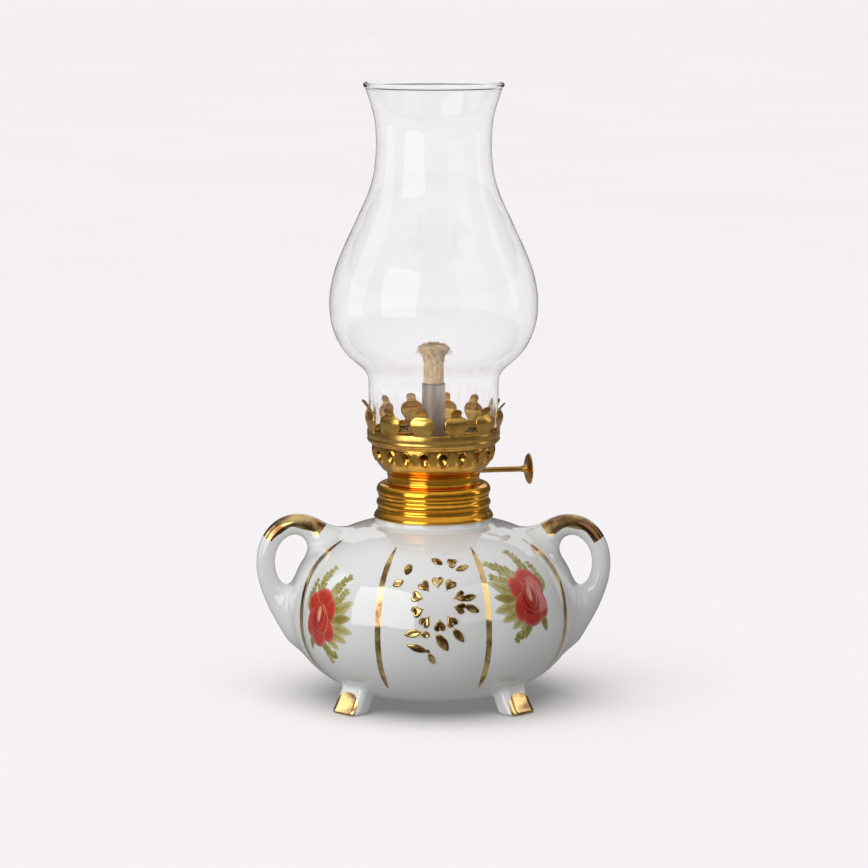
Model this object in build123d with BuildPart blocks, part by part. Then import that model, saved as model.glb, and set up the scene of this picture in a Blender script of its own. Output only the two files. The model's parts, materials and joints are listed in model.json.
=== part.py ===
"""A small porcelain oil lamp: a lobed font on four feet, a screw-in brass burner with a wick raiser, and a glass chimney.

Millimetres, +Z up. The origin is on the lamp's axis, on the plane that the feet stand on. The front is -Y,
and the two handles are on -X and +X.
"""

import math
import os

from build123d import *

# ---------------------------------------------------------------- driving dimensions

TOTAL_HEIGHT = 180.0

# Porcelain font. The profile runs up the crown of a lobe, from under the belly to the foot of the neck.
LOBES = 8
GROOVE_DEPTH = 1.1
FONT_PROFILE = [
    (15.5, 2.4),
    (25.0, 3.8),
    (33.2, 8.2),
    (38.8, 14.0),
    (41.8, 20.5),
    (42.4, 26.5),
    (41.3, 34.0),
    (38.0, 41.0),
    (32.7, 46.1),
    (26.4, 49.8),
    (21.2, 51.5),
    (18.4, 52.0),
]
CAVITY_PROFILE = [
    (15.0, 5.6),
    (25.5, 7.2),
    (33.0, 12.6),
    (37.4, 20.0),
    (38.2, 27.0),
    (35.8, 36.0),
    (29.0, 43.3),
    (20.0, 47.6),
]
NECK_BAND_RADIUS = 16.9
NECK_BAND_TOP = 53.5
NECK_RADIUS = 15.4
NECK_BORE = 13.3
NECK_TOP = 61.0
NECK_BORE_BOTTOM = 49.6

# Handles: one loop in the XZ plane, as (x, z, width in the plane, thickness along Y) down the loop.
HANDLE_STATIONS = [
    (30.6, 44.6, 8.4, 8.4),
    (34.3, 47.5, 7.9, 7.6),
    (36.9, 49.7, 7.0, 6.8),
    (40.3, 50.7, 6.4, 6.4),
    (44.9, 48.9, 5.9, 6.2),
    (48.1, 44.6, 5.6, 6.0),
    (49.2, 40.2, 5.4, 6.0),
    (48.8, 36.0, 5.7, 6.2),
    (47.1, 32.0, 6.7, 6.6),
    (44.4, 28.6, 9.0, 7.4),
    (39.5, 25.2, 11.6, 8.6),
]

# Feet, at 45 degrees between the handles and the front. Radii are measured to the inner and outer faces.
FOOT_ANGLES = {"front_right": -45, "back_right": 45, "back_left": 135, "front_left": -135}
FOOT_WIDTH = 10.6
FOOT_BASE_RADII = (31.2, 38.2)
FOOT_TOP_RADII = (26.4, 32.6)
FOOT_TOP = 12.0
FOOT_CORNER = 2.4

# Brass collar cemented on the neck, and the screw thread inside it.
SHEET = 0.4
COLLAR_TOP = 63.6
COLLAR_BOTTOM = 53.6
COLLAR_BOTTOM_RADIUS = 17.25
COLLAR_SKIRT = [
    (17.35, 54.3),
    (16.75, 55.6),
    (16.2, 56.6),
    (16.7, 58.1),
    (16.2, 59.8),
    (16.7, 61.6),
    (16.3, 62.9),
    (15.2, COLLAR_TOP),
]
CEMENT_BOTTOM = 56.5
CEMENT_OUTER = 15.75
CEMENT_TOP = 62.7
LEDGE_OUTER = 13.4
THREAD_WALL = 0.5
THREAD_WALL_BOTTOM = 54.5
THREAD_PITCH = 2.5
SLEEVE_OUTER = 11.75
SLEEVE_INNER = 11.2
SLEEVE_BOTTOM = 55.8
COLLAR_BORE = 12.5
THREAD_RISE = 0.5
THREAD_SINK = 0.25
THREAD_ROOT_WIDTH = 1.0
THREAD_CREST_WIDTH = 0.45
THREAD_TURNS = 2.0
SLEEVE_THREAD_START = 56.5
COLLAR_THREAD_START = 55.6
LEDGE_TOP = 61.6
SEAL_THICKNESS = 0.5

# Burner.
NECK_CUP_RADIUS = 13.15
NECK_CUP_BOTTOM = LEDGE_TOP + SEAL_THICKNESS
NECK_CUP_TOP = 66.9
NECK_BEAD_HEIGHT = 64.1
NECK_BEAD_RADIUS = 0.3
VENTS = 4
VENT_RADIUS = 0.8
VENT_CIRCLE = 9.5
BOWL_TOP = 75.2
BOWL_RADIUS = 17.8
AIR_HOLES = 20
AIR_HOLE_SIZE = (2.2, 3.8)
AIR_HOLE_HEIGHT = 72.7
PLATE_TOP = 75.2
DRAUGHT_HOLE_RADIUS = 0.7
DRAUGHT_RINGS = ((6.2, 12), (9.0, 18), (11.8, 24), (14.6, 30))
PRONGS = 12
PRONG_SHEET = 0.35
PRONG_ROOT = 79.0
PRONG_TIP = 86.5
PRONG_ANGLE = -10.0
PRONG_LINE = [(19.2, PRONG_ROOT - 0.2), (19.2, 82.0), (19.25, 84.2), (20.6, PRONG_TIP)]
PRONG_STALK = (4.4, 1.6)
PRONG_LEAF = (2.9, 3.4, 2.5)
PRONG_WAIST = (5.6, 2.9, 2.2)
PRONG_BUD = (6.6, 1.7, 1.1)
RING_RADIUS = 19.3
RING_BORE = 18.85
SHELF_TOP = 76.3
SHELF_INNER = 16.6
RING_TOP = 79.6

# Wick, its tube and the raiser.
WICK_RADIUS = 3.0
WICK_BOTTOM = 12.5
WICK_TOP = 105.1
TUBE_INNER = 3.15
TUBE_OUTER = 3.4
TUBE_BOTTOM = 58.0
TUBE_TOP = 93.5
TUBE_WINDOW = (2.4, 5.0)
WICK_HEAD = [(WICK_RADIUS, 98.8), (3.5, 100.2), (5.4, 102.0), (4.5, 104.2), (0, WICK_TOP)]
SPINDLE_HEIGHT = 65.8
SPINDLE_ANGLE = 12.0
SPINDLE_OFFSET = 5.8
SPINDLE_RADIUS = 0.8
SPINDLE_INNER_END = -3.6
BUSH_OUTER = 1.25
BUSH_INNER = SPINDLE_RADIUS + 0.06
BUSH_SPAN = (8.0, 14.2)
BRACKET_DEPTH = 9.2
BRACKET_HEIGHT = 3.6
CHEEK_GAP = 3.4
KNOB_AT = 29.2
KNOB_RADIUS = 4.6
KNOB_RIM_DEPTH = 0.9
KNOB_FLARE_RADIUS = 1.35
KNOB_FLARE_LENGTH = 1.2
RIVET_RADIUS = 1.2
RIVET_HEIGHT = 0.5
KNOB_SHEET = 0.5
KNOB_RIM = 0.4
WHEEL_TEETH = 10
WHEEL_TIP = 2.62
WHEEL_ROOT = 1.9
WHEEL_WIDTH = 1.8

# Glass chimney: the outside, from its foot to its rim.
GLASS = 1.2
CHIMNEY_BOTTOM = 76.5
CHIMNEY_FOOT = [(18.6, CHIMNEY_BOTTOM), (18.6, 82.0), (19.0, 91.0), (19.05, 93.6)]
CHIMNEY_BULB = [
    (19.05, 93.6),
    (20.3, 96.9),
    (25.1, 101.3),
    (28.3, 106.2),
    (30.3, 115.5),
    (28.9, 125.0),
    (24.4, 136.2),
    (19.3, 147.5),
    (16.8, 158.5),
    (16.9, 168.0),
    (18.6, 175.3),
    (19.9, TOTAL_HEIGHT - 1.5),
]

os.makedirs("parts", exist_ok=True)


def radial_plane(angle, radius=0.0, height=0.0, side=0.0):
    """A plane whose normal points outwards at this angle from +X, with its own y axis up."""
    a = math.radians(angle)
    outward = Vector(math.cos(a), math.sin(a), 0)
    across = Vector(-math.sin(a), math.cos(a), 0)
    origin = outward * radius + across * side + Vector(0, 0, height)
    return Plane(origin=origin, x_dir=across, z_dir=outward)


def save(piece, name):
    """Labels a finished piece and writes its STEP file."""
    piece.part.label = name
    export_step(piece.part, f"parts/{name}.step")
    print(name, "solids", len(piece.part.solids()), "volume", round(piece.part.volume, 1))


def groove_depth(height):
    """How far the grooves sink below the crowns of the lobes: nothing under the belly or at the neck."""
    low, high = FONT_PROFILE[0][1], FONT_PROFILE[-1][1]
    return GROOVE_DEPTH * math.sin(math.pi * (height - low) / (high - low)) ** 0.7


# ---------------------------------------------------------------- porcelain font

with BuildPart() as font_outside:
    half_lobe = math.pi / LOBES
    for crown, height in FONT_PROFILE:
        groove = crown - groove_depth(height)
        with BuildSketch(Plane.XY.offset(height)):
            with BuildLine():
                for lobe in range(LOBES):
                    mid = 2 * half_lobe * lobe
                    ThreePointArc(
                        (groove * math.cos(mid - half_lobe), groove * math.sin(mid - half_lobe)),
                        (crown * math.cos(mid), crown * math.sin(mid)),
                        (groove * math.cos(mid + half_lobe), groove * math.sin(mid + half_lobe)),
                    )
            make_face()
    loft()

with BuildPart() as font_shell:
    add(font_outside.part)
    shoulder = FONT_PROFILE[-1][1]
    with BuildSketch(Plane.XY.offset(shoulder)):
        Circle(NECK_BAND_RADIUS)
    extrude(amount=NECK_BAND_TOP - shoulder)
    with BuildSketch(Plane.XY.offset(NECK_BAND_TOP)):
        Circle(NECK_RADIUS)
    extrude(amount=NECK_TOP - NECK_BAND_TOP)
    with BuildSketch(Plane.XZ) as cavity:
        with BuildLine():
            wall = Spline(*CAVITY_PROFILE)
            Line((0, CAVITY_PROFILE[0][1]), wall @ 0)
            Line(wall @ 1, (NECK_BORE, NECK_BORE_BOTTOM))
            Polyline((NECK_BORE, NECK_BORE_BOTTOM), (NECK_BORE, NECK_TOP), (0, NECK_TOP), (0, CAVITY_PROFILE[0][1]))
        make_face()
    revolve(axis=Axis.Z, mode=Mode.SUBTRACT)
save(font_shell, "font_shell")

# ---------------------------------------------------------------- handles

with BuildPart() as handle_loop:
    with BuildLine(Plane.XZ) as loop_line:
        loop = Spline(*[(x, z) for x, z, _, _ in HANDLE_STATIONS])
    for x, z, width, thickness in HANDLE_STATIONS:
        along = loop % loop.param_at_point(Vector(x, 0, z))
        with BuildSketch(Plane(origin=(x, 0, z), x_dir=(0, 1, 0), z_dir=along)):
            Ellipse(thickness / 2, width / 2)
    loft()
    add(font_outside.part, mode=Mode.SUBTRACT)

with BuildPart() as right_handle:
    add(handle_loop.part.solids().sort_by(SortBy.VOLUME)[-1])
save(right_handle, "right_handle")

with BuildPart() as left_handle:
    mirror(right_handle.part, about=Plane.YZ)
save(left_handle, "left_handle")

# ---------------------------------------------------------------- feet

for corner, angle in FOOT_ANGLES.items():
    with BuildPart() as foot:
        for height, (inner, outer) in ((0.0, FOOT_BASE_RADII), (FOOT_TOP, FOOT_TOP_RADII)):
            a = math.radians(angle)
            middle = (inner + outer) / 2
            spot = Plane(
                origin=(middle * math.cos(a), middle * math.sin(a), height),
                x_dir=(math.cos(a), math.sin(a), 0),
                z_dir=(0, 0, 1),
            )
            with BuildSketch(spot):
                RectangleRounded(outer - inner, FOOT_WIDTH, FOOT_CORNER)
        loft()
        add(font_outside.part, mode=Mode.SUBTRACT)
    with BuildPart() as foot_below_belly:
        add(foot.part.solids().sort_by(Axis.Z)[0])
    save(foot_below_belly, f"foot_{corner}")

# ---------------------------------------------------------------- collar, its cement and its thread


def thread_ridge(wall_radius, start, inward):
    """One helical ridge of the screw thread, standing out of a wall of this radius and sunk a little into it."""
    side = -1 if inward else 1
    root, crest = THREAD_ROOT_WIDTH / 2, THREAD_CREST_WIDTH / 2
    sunk, rise = -side * THREAD_SINK, side * THREAD_RISE
    with BuildPart() as ridge:
        with BuildLine() as path:
            Helix(THREAD_PITCH, THREAD_PITCH * THREAD_TURNS, wall_radius, center=(0, 0, start))
        with BuildSketch(Plane(origin=path.line @ 0, x_dir=(1, 0, 0), z_dir=path.line % 0)):
            with BuildLine():
                Polyline((sunk, -root), (0, -root), (rise, -crest), (rise, crest), (0, root), (sunk, root), close=True)
            make_face()
        sweep(path=path.line, is_frenet=True)
    return ridge.part


with BuildPart() as screw_collar:
    with BuildSketch(Plane.XZ):
        with BuildLine():
            skirt = Spline(*COLLAR_SKIRT)
            Polyline(
                skirt @ 1,
                (LEDGE_OUTER, COLLAR_TOP),
                (LEDGE_OUTER, LEDGE_TOP),
                (COLLAR_BORE, LEDGE_TOP),
                (COLLAR_BORE, THREAD_WALL_BOTTOM),
                (COLLAR_BORE + THREAD_WALL, THREAD_WALL_BOTTOM),
                (COLLAR_BORE + THREAD_WALL, LEDGE_TOP - SHEET),
                (LEDGE_OUTER + SHEET, LEDGE_TOP - SHEET),
                (LEDGE_OUTER + SHEET, CEMENT_TOP),
                (CEMENT_OUTER, CEMENT_TOP),
                (CEMENT_OUTER, CEMENT_BOTTOM - 0.2),
                (COLLAR_BOTTOM_RADIUS - 0.3, COLLAR_BOTTOM),
                (COLLAR_BOTTOM_RADIUS, COLLAR_BOTTOM),
                skirt @ 0,
            )
        make_face()
    revolve(axis=Axis.Z)
    add(thread_ridge(COLLAR_BORE, COLLAR_THREAD_START, inward=True))
save(screw_collar, "screw_collar")

with BuildPart() as collar_cement:
    with BuildSketch(Plane.XZ):
        with BuildLine():
            Polyline(
                (NECK_RADIUS, CEMENT_BOTTOM),
                (CEMENT_OUTER, CEMENT_BOTTOM),
                (CEMENT_OUTER, CEMENT_TOP),
                (LEDGE_OUTER + SHEET, CEMENT_TOP),
                (LEDGE_OUTER + SHEET, NECK_TOP),
                (NECK_RADIUS, NECK_TOP),
                close=True,
            )
        make_face()
    revolve(axis=Axis.Z)
save(collar_cement, "collar_cement")

with BuildPart() as seal_ring:
    with BuildSketch(Plane.XY.offset(LEDGE_TOP)):
        Circle(NECK_CUP_RADIUS - 0.05)
        Circle(COLLAR_BORE + 0.1, mode=Mode.SUBTRACT)
    extrude(amount=SEAL_THICKNESS)
save(seal_ring, "seal_ring")

# ---------------------------------------------------------------- burner base

with BuildPart() as threaded_sleeve:
    with BuildSketch(Plane.XY.offset(SLEEVE_BOTTOM)):
        Circle(SLEEVE_OUTER)
    extrude(amount=NECK_CUP_BOTTOM - SLEEVE_BOTTOM)
    with BuildSketch(Plane.XY.offset(NECK_CUP_BOTTOM)):
        Circle(NECK_CUP_RADIUS)
    extrude(amount=SHEET)
    with BuildSketch(Plane.XY.offset(SLEEVE_BOTTOM)):
        Circle(SLEEVE_INNER)
    extrude(amount=NECK_CUP_BOTTOM + SHEET - SLEEVE_BOTTOM, mode=Mode.SUBTRACT)
    add(thread_ridge(SLEEVE_OUTER, SLEEVE_THREAD_START, inward=False))
save(threaded_sleeve, "threaded_sleeve")

spindle_way = radial_plane(SPINDLE_ANGLE, 0, SPINDLE_HEIGHT, SPINDLE_OFFSET)

with BuildPart() as burner_neck:
    with BuildSketch(Plane.XY.offset(NECK_CUP_BOTTOM + SHEET)):
        Circle(NECK_CUP_RADIUS)
        Circle(NECK_CUP_RADIUS - SHEET, mode=Mode.SUBTRACT)
    extrude(amount=NECK_CUP_TOP - NECK_CUP_BOTTOM - SHEET)
    with BuildSketch(Plane.XZ):
        with Locations((NECK_CUP_RADIUS, NECK_BEAD_HEIGHT)):
            Circle(NECK_BEAD_RADIUS)
    revolve(axis=Axis.Z)
    with BuildSketch(spindle_way):
        Circle(BUSH_OUTER)
    extrude(amount=20, mode=Mode.SUBTRACT)
save(burner_neck, "burner_neck")

with BuildPart() as base_plate:
    with BuildSketch(Plane.XY.offset(NECK_CUP_BOTTOM + SHEET)):
        Circle(NECK_CUP_RADIUS - SHEET)
        Circle(TUBE_OUTER, mode=Mode.SUBTRACT)
        with PolarLocations(VENT_CIRCLE, VENTS, start_angle=45):
            Circle(VENT_RADIUS, mode=Mode.SUBTRACT)
    extrude(amount=SHEET)
save(base_plate, "base_plate")

# ---------------------------------------------------------------- air bowl, draught plate and crown gallery

with BuildPart() as air_bowl:
    with BuildSketch(Plane.XZ):
        with BuildLine():
            outside = Spline(
                (NECK_CUP_RADIUS + 0.2, 66.6), (14.9, 67.8), (16.4, 69.5), (17.3, 71.3), (BOWL_RADIUS, 73.6)
            )
            inside = Spline(
                (NECK_CUP_RADIUS, 67.0), (14.65, 68.1), (16.05, 69.7), (16.9, 71.4), (BOWL_RADIUS - SHEET, 73.6)
            )
            Polyline(outside @ 1, (BOWL_RADIUS, BOWL_TOP), (BOWL_RADIUS - SHEET, BOWL_TOP), inside @ 1)
            Polyline(inside @ 0, (NECK_CUP_RADIUS, 66.4), (NECK_CUP_RADIUS + 0.2, 66.4), outside @ 0)
        make_face()
    revolve(axis=Axis.Z)
    for hole in range(AIR_HOLES):
        with BuildSketch(radial_plane(360 / AIR_HOLES * (hole + 0.5) - 90, 12, AIR_HOLE_HEIGHT)):
            Ellipse(AIR_HOLE_SIZE[0] / 2, AIR_HOLE_SIZE[1] / 2)
        extrude(amount=10, mode=Mode.SUBTRACT)
    with BuildSketch(spindle_way):
        Circle(BUSH_OUTER)
    extrude(amount=20, mode=Mode.SUBTRACT)
save(air_bowl, "air_bowl")

with BuildPart() as draught_plate:
    with BuildSketch(Plane.XY.offset(PLATE_TOP - SHEET)):
        Circle(BOWL_RADIUS - SHEET)
        Circle(TUBE_OUTER, mode=Mode.SUBTRACT)
        for ring_radius, count in DRAUGHT_RINGS:
            with PolarLocations(ring_radius, count):
                Circle(DRAUGHT_HOLE_RADIUS, mode=Mode.SUBTRACT)
    extrude(amount=SHEET)
save(draught_plate, "draught_plate")

with BuildPart() as prong_sheet:
    with BuildSketch(Plane.XZ):
        with BuildLine():
            outer_face = Spline(*PRONG_LINE)
            inner_face = Spline(*[(r - PRONG_SHEET, z + 0.1) for r, z in PRONG_LINE])
            Line(outer_face @ 0, inner_face @ 0)
            Line(outer_face @ 1, inner_face @ 1)
        make_face()
    revolve(axis=Axis.Z)

with BuildPart() as prong_blanks:
    for prong in range(PRONGS):
        with BuildSketch(radial_plane(360 / PRONGS * prong - 90 + PRONG_ANGLE, 15, PRONG_ROOT)):
            Rectangle(*PRONG_STALK)
            with Locations((0, PRONG_LEAF[0])):
                Ellipse(*PRONG_LEAF[1:])
            with Locations((0, PRONG_WAIST[0])):
                Rectangle(*PRONG_WAIST[1:])
            with Locations((0, PRONG_BUD[0])):
                Ellipse(*PRONG_BUD[1:])
        extrude(amount=8)

with BuildPart() as crown_gallery:
    add(prong_sheet.part)
    add(prong_blanks.part, mode=Mode.INTERSECT)
    with BuildSketch(Plane.XZ):
        with BuildLine():
            Polyline(
                (SHELF_INNER, PLATE_TOP),
                (17.9, PLATE_TOP),
                (18.75, 75.5),
                (19.25, 76.1),
                (RING_RADIUS, 77.6),
                (RING_RADIUS, 79.2),
                (19.2, RING_TOP),
                (RING_BORE, RING_TOP),
                (RING_BORE, SHELF_TOP),
                (SHELF_INNER, SHELF_TOP),
                close=True,
            )
        make_face()
    revolve(axis=Axis.Z)
save(crown_gallery, "crown_gallery")

# ---------------------------------------------------------------- wick tube and the parts of the wick raiser

with BuildPart() as wick_tube:
    with BuildSketch(Plane.XY.offset(TUBE_BOTTOM)):
        Circle(TUBE_OUTER)
        Circle(TUBE_INNER, mode=Mode.SUBTRACT)
    extrude(amount=TUBE_TOP - TUBE_BOTTOM)
    with BuildSketch(radial_plane(SPINDLE_ANGLE + 90, 2.0, SPINDLE_HEIGHT)):
        Rectangle(*TUBE_WINDOW)
    extrude(amount=4, mode=Mode.SUBTRACT)
save(wick_tube, "wick_tube")

with BuildPart() as wheel_bracket:
    for cheek_face in (CHEEK_GAP / 2, -CHEEK_GAP / 2 - SHEET):
        with BuildSketch(radial_plane(SPINDLE_ANGLE, cheek_face, SPINDLE_HEIGHT)):
            with Locations((BRACKET_DEPTH / 2, 0)):
                Rectangle(BRACKET_DEPTH, BRACKET_HEIGHT)
        extrude(amount=SHEET)
    with BuildSketch(radial_plane(SPINDLE_ANGLE + 90, BRACKET_DEPTH - SHEET, SPINDLE_HEIGHT)):
        Rectangle(CHEEK_GAP + 2 * SHEET, BRACKET_HEIGHT)
    extrude(amount=SHEET)
    with BuildSketch(Plane.XY.offset(SPINDLE_HEIGHT - BRACKET_HEIGHT)):
        Circle(TUBE_OUTER)
    extrude(amount=2 * BRACKET_HEIGHT, mode=Mode.SUBTRACT)
    with BuildSketch(spindle_way.offset(-CHEEK_GAP)):
        Circle(BUSH_INNER)
    extrude(amount=2 * CHEEK_GAP, mode=Mode.SUBTRACT)
save(wheel_bracket, "wheel_bracket")

with BuildPart() as spindle_bush:
    with BuildSketch(spindle_way.offset(BUSH_SPAN[0])):
        Circle(BUSH_OUTER)
        Circle(BUSH_INNER, mode=Mode.SUBTRACT)
    extrude(amount=BUSH_SPAN[1] - BUSH_SPAN[0])
save(spindle_bush, "spindle_bush")

with BuildPart() as wick_wheel:
    with BuildSketch(spindle_way.offset(-WHEEL_WIDTH / 2)):
        with BuildLine():
            step = 2 * math.pi / WHEEL_TEETH
            corners = []
            for tooth in range(WHEEL_TEETH):
                for turn, radius in ((0, WHEEL_TIP), (0.5, WHEEL_ROOT)):
                    a = step * (tooth + turn)
                    corners.append((radius * math.cos(a), radius * math.sin(a)))
            Polyline(*corners, close=True)
        make_face()
        Circle(SPINDLE_RADIUS, mode=Mode.SUBTRACT)
    extrude(amount=WHEEL_WIDTH)
save(wick_wheel, "wick_wheel")

with BuildPart() as spindle:
    with BuildSketch(spindle_way.offset(SPINDLE_INNER_END)):
        Circle(SPINDLE_RADIUS)
    extrude(amount=KNOB_AT + KNOB_SHEET - SPINDLE_INNER_END)
    with BuildSketch(spindle_way.offset(KNOB_AT - KNOB_FLARE_LENGTH)):
        Circle(SPINDLE_RADIUS)
    with BuildSketch(spindle_way.offset(KNOB_AT)):
        Circle(KNOB_FLARE_RADIUS)
    loft()
    with BuildSketch(spindle_way.offset(KNOB_AT + KNOB_SHEET)):
        Circle(RIVET_RADIUS)
    extrude(amount=RIVET_HEIGHT, taper=35)
save(spindle, "spindle")

with BuildPart() as knob:
    with BuildSketch(spindle_way.offset(KNOB_AT)):
        Circle(KNOB_RADIUS)
        Circle(SPINDLE_RADIUS, mode=Mode.SUBTRACT)
    extrude(amount=KNOB_SHEET)
    with BuildSketch(spindle_way.offset(KNOB_AT)):
        Circle(KNOB_RADIUS)
        Circle(KNOB_RADIUS - KNOB_RIM, mode=Mode.SUBTRACT)
    extrude(amount=KNOB_RIM_DEPTH)
save(knob, "knob")

# ---------------------------------------------------------------- wick

with BuildPart() as wick:
    with BuildSketch(Plane.XZ):
        with BuildLine():
            head = Spline(*WICK_HEAD)
            Polyline(head @ 1, (0, WICK_BOTTOM), (WICK_RADIUS, WICK_BOTTOM), head @ 0)
        make_face()
    revolve(axis=Axis.Z)
save(wick, "wick")

# ---------------------------------------------------------------- chimney

with BuildPart() as chimney:
    with BuildSketch(Plane.XZ):
        with BuildLine():
            foot_out = Spline(*CHIMNEY_FOOT)
            bulb_out = Spline(*CHIMNEY_BULB)
            foot_in = Spline(*[(r - GLASS, z) for r, z in CHIMNEY_FOOT])
            bulb_in = Spline(*[(r - GLASS, z) for r, z in CHIMNEY_BULB])
            Line(foot_out @ 0, foot_in @ 0)
            Spline(
                bulb_out @ 1,
                (20.45, TOTAL_HEIGHT - 0.7),
                (19.7, TOTAL_HEIGHT),
                (19.0, TOTAL_HEIGHT - 0.6),
                bulb_in @ 1,
            )
        make_face()
    revolve(axis=Axis.Z)
save(chimney, "chimney")
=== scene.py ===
"""The looks of the porcelain oil lamp: gilded porcelain, spun brass, steel, cotton and clear glass.

Lengths below are millimetres in the frame's own axes, and become metres when a mesh is made.
The lamp's front is -Y.
"""

import json
import math

import bmesh
import bpy
import numpy as np
from mathutils import Matrix, Vector

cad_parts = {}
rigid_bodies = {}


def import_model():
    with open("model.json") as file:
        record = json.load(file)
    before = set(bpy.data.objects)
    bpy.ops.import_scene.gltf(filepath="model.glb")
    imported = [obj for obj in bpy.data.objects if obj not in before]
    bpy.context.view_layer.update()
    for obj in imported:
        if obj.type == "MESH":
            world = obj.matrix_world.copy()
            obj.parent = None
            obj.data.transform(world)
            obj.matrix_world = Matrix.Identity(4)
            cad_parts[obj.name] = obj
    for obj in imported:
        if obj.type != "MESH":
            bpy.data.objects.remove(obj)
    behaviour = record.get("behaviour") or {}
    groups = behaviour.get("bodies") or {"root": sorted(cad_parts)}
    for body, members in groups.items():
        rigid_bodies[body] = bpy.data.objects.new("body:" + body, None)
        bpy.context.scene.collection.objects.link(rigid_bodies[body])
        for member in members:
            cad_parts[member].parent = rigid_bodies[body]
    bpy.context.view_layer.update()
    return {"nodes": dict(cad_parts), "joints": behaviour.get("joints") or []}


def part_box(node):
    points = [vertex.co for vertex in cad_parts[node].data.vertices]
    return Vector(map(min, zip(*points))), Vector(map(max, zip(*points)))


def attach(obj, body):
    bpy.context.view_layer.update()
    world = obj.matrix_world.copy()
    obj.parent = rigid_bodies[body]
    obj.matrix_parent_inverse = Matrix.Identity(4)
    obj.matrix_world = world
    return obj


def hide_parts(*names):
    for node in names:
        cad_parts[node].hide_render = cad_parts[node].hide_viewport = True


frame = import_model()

MM = 0.001
TAU = 2 * math.pi
SCENE = bpy.context.scene
NODES = frame["nodes"]

# ---------------------------------------------------------------- numbers that follow the frame

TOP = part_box("chimney")[1].z / MM
NECK_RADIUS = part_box("burner_neck")[1].x / MM
BOWL_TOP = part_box("air_bowl")[1].z / MM
CHIMNEY_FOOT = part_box("chimney")[0].z / MM
WICK_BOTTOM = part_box("wick")[0].z / MM
LOBES = 8
GROOVE_DEPTH = 1.35

# ---------------------------------------------------------------- mesh tools


def spline(points, count):
    """A natural cubic spline through the points, as this many points evenly spaced by chord length."""
    points = np.asarray(points, float)
    steps = np.linalg.norm(np.diff(points, axis=0), axis=1)
    at = np.concatenate([[0], np.cumsum(steps)])
    n = len(points)
    system, right = np.eye(n), np.zeros(points.shape)
    for i in range(1, n - 1):
        before, after = steps[i - 1], steps[i]
        system[i, i - 1 : i + 2] = before, 2 * (before + after), after
        right[i] = 6 * ((points[i + 1] - points[i]) / after - (points[i] - points[i - 1]) / before)
    bend = np.linalg.solve(system, right)
    t = np.linspace(0, at[-1], count)
    i = np.clip(np.searchsorted(at, t, side="right") - 1, 0, n - 2)
    span = steps[i][:, None]
    a, b = (at[i + 1] - t)[:, None], (t - at[i])[:, None]
    cubic = (bend[i] * a**3 + bend[i + 1] * b**3) / (6 * span)
    low, high = points[i] / span - bend[i] * span / 6, points[i + 1] / span - bend[i + 1] * span / 6
    return cubic + low * a + high * b


CORNER_POINTS = 5


def softened(points, radius, step):
    """A closed outline with its corners rounded off and its long sides divided."""
    points = np.asarray(points, float)
    out = []
    for before, here, after in zip(np.roll(points, 1, 0), points, np.roll(points, -1, 0)):
        reach = min(radius, 0.45 * np.linalg.norm(here - before), 0.45 * np.linalg.norm(after - here))
        start = here + (before - here) / np.linalg.norm(before - here) * reach
        end = here + (after - here) / np.linalg.norm(after - here) * reach
        for t in np.linspace(0, 1, CORNER_POINTS):
            out.append((1 - t) ** 2 * start + 2 * t * (1 - t) * here + t**2 * end)
    out = np.array(out)
    divided = []
    for here, after in zip(out, np.roll(out, -1, 0)):
        pieces = max(1, math.ceil(np.linalg.norm(after - here) / step))
        divided += [here + (after - here) * k / pieces for k in range(pieces)]
    return np.array(divided)


def grid_faces(rows, columns, wrap_columns, wrap_rows=False, start=0):
    """The quads of points stored row by row."""
    i = np.arange(rows if wrap_rows else rows - 1)[:, None]
    j = np.arange(columns if wrap_columns else columns - 1)[None, :]
    next_i, next_j = (i + 1) % rows, (j + 1) % columns
    corners = (i * columns + j, i * columns + next_j, next_i * columns + next_j, next_i * columns + j)
    return start + np.stack(np.broadcast_arrays(*corners), -1).reshape(-1, 4)


def new_piece(name, points, faces, weld=0.002, outward=True):
    """A smooth-shaded mesh object from points in millimetres."""
    mesh = bpy.data.meshes.new(name)
    mesh.from_pydata((np.asarray(points, float) * MM).tolist(), [], np.asarray(faces).tolist())
    work = bmesh.new()
    work.from_mesh(mesh)
    if weld:
        bmesh.ops.remove_doubles(work, verts=work.verts, dist=weld * MM)
    if outward:
        bmesh.ops.recalc_face_normals(work, faces=work.faces)
    work.to_mesh(mesh)
    work.free()
    mesh.shade_smooth()
    obj = bpy.data.objects.new(name, mesh)
    SCENE.collection.objects.link(obj)
    return obj


class Patches:
    """Gathers grids of points into one mesh."""

    def __init__(self):
        self.points, self.faces, self.total = [], [], 0

    def add(self, grid, wrap_columns=True):
        """Adds points in rows and columns. wrap_columns joins the last column to the first."""
        rows, columns = grid.shape[:2]
        self.points.append(grid.reshape(-1, 3))
        self.faces.append(grid_faces(rows, columns, wrap_columns, start=self.total))
        self.total += rows * columns

    def piece(self, name, **settings):
        return new_piece(name, np.concatenate(self.points), np.concatenate(self.faces), **settings)


def paint_points(obj, name, colours):
    """Stores a colour with its alpha at each point of a mesh."""
    store = obj.data.color_attributes.new(name, "FLOAT_COLOR", "POINT")
    store.data.foreach_set("color", colours.astype(np.float32).ravel())


def turned_points(profile, segments, closed=True, wobble=None):
    """Points and faces of a profile of (radius, height) turned about Z."""
    profile = np.asarray(profile, float)
    turn = np.arange(segments) * TAU / segments
    radius, height = np.meshgrid(profile[:, 0], turn, indexing="ij")[0], profile[:, 1][:, None] + 0 * turn
    if wobble:
        radius = radius + wobble(turn[None, :] + 0 * radius, height)
    points = np.stack([radius * np.cos(turn), radius * np.sin(turn), height], -1).reshape(-1, 3)
    return points, grid_faces(len(profile), segments, wrap_columns=True, wrap_rows=closed)


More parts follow.
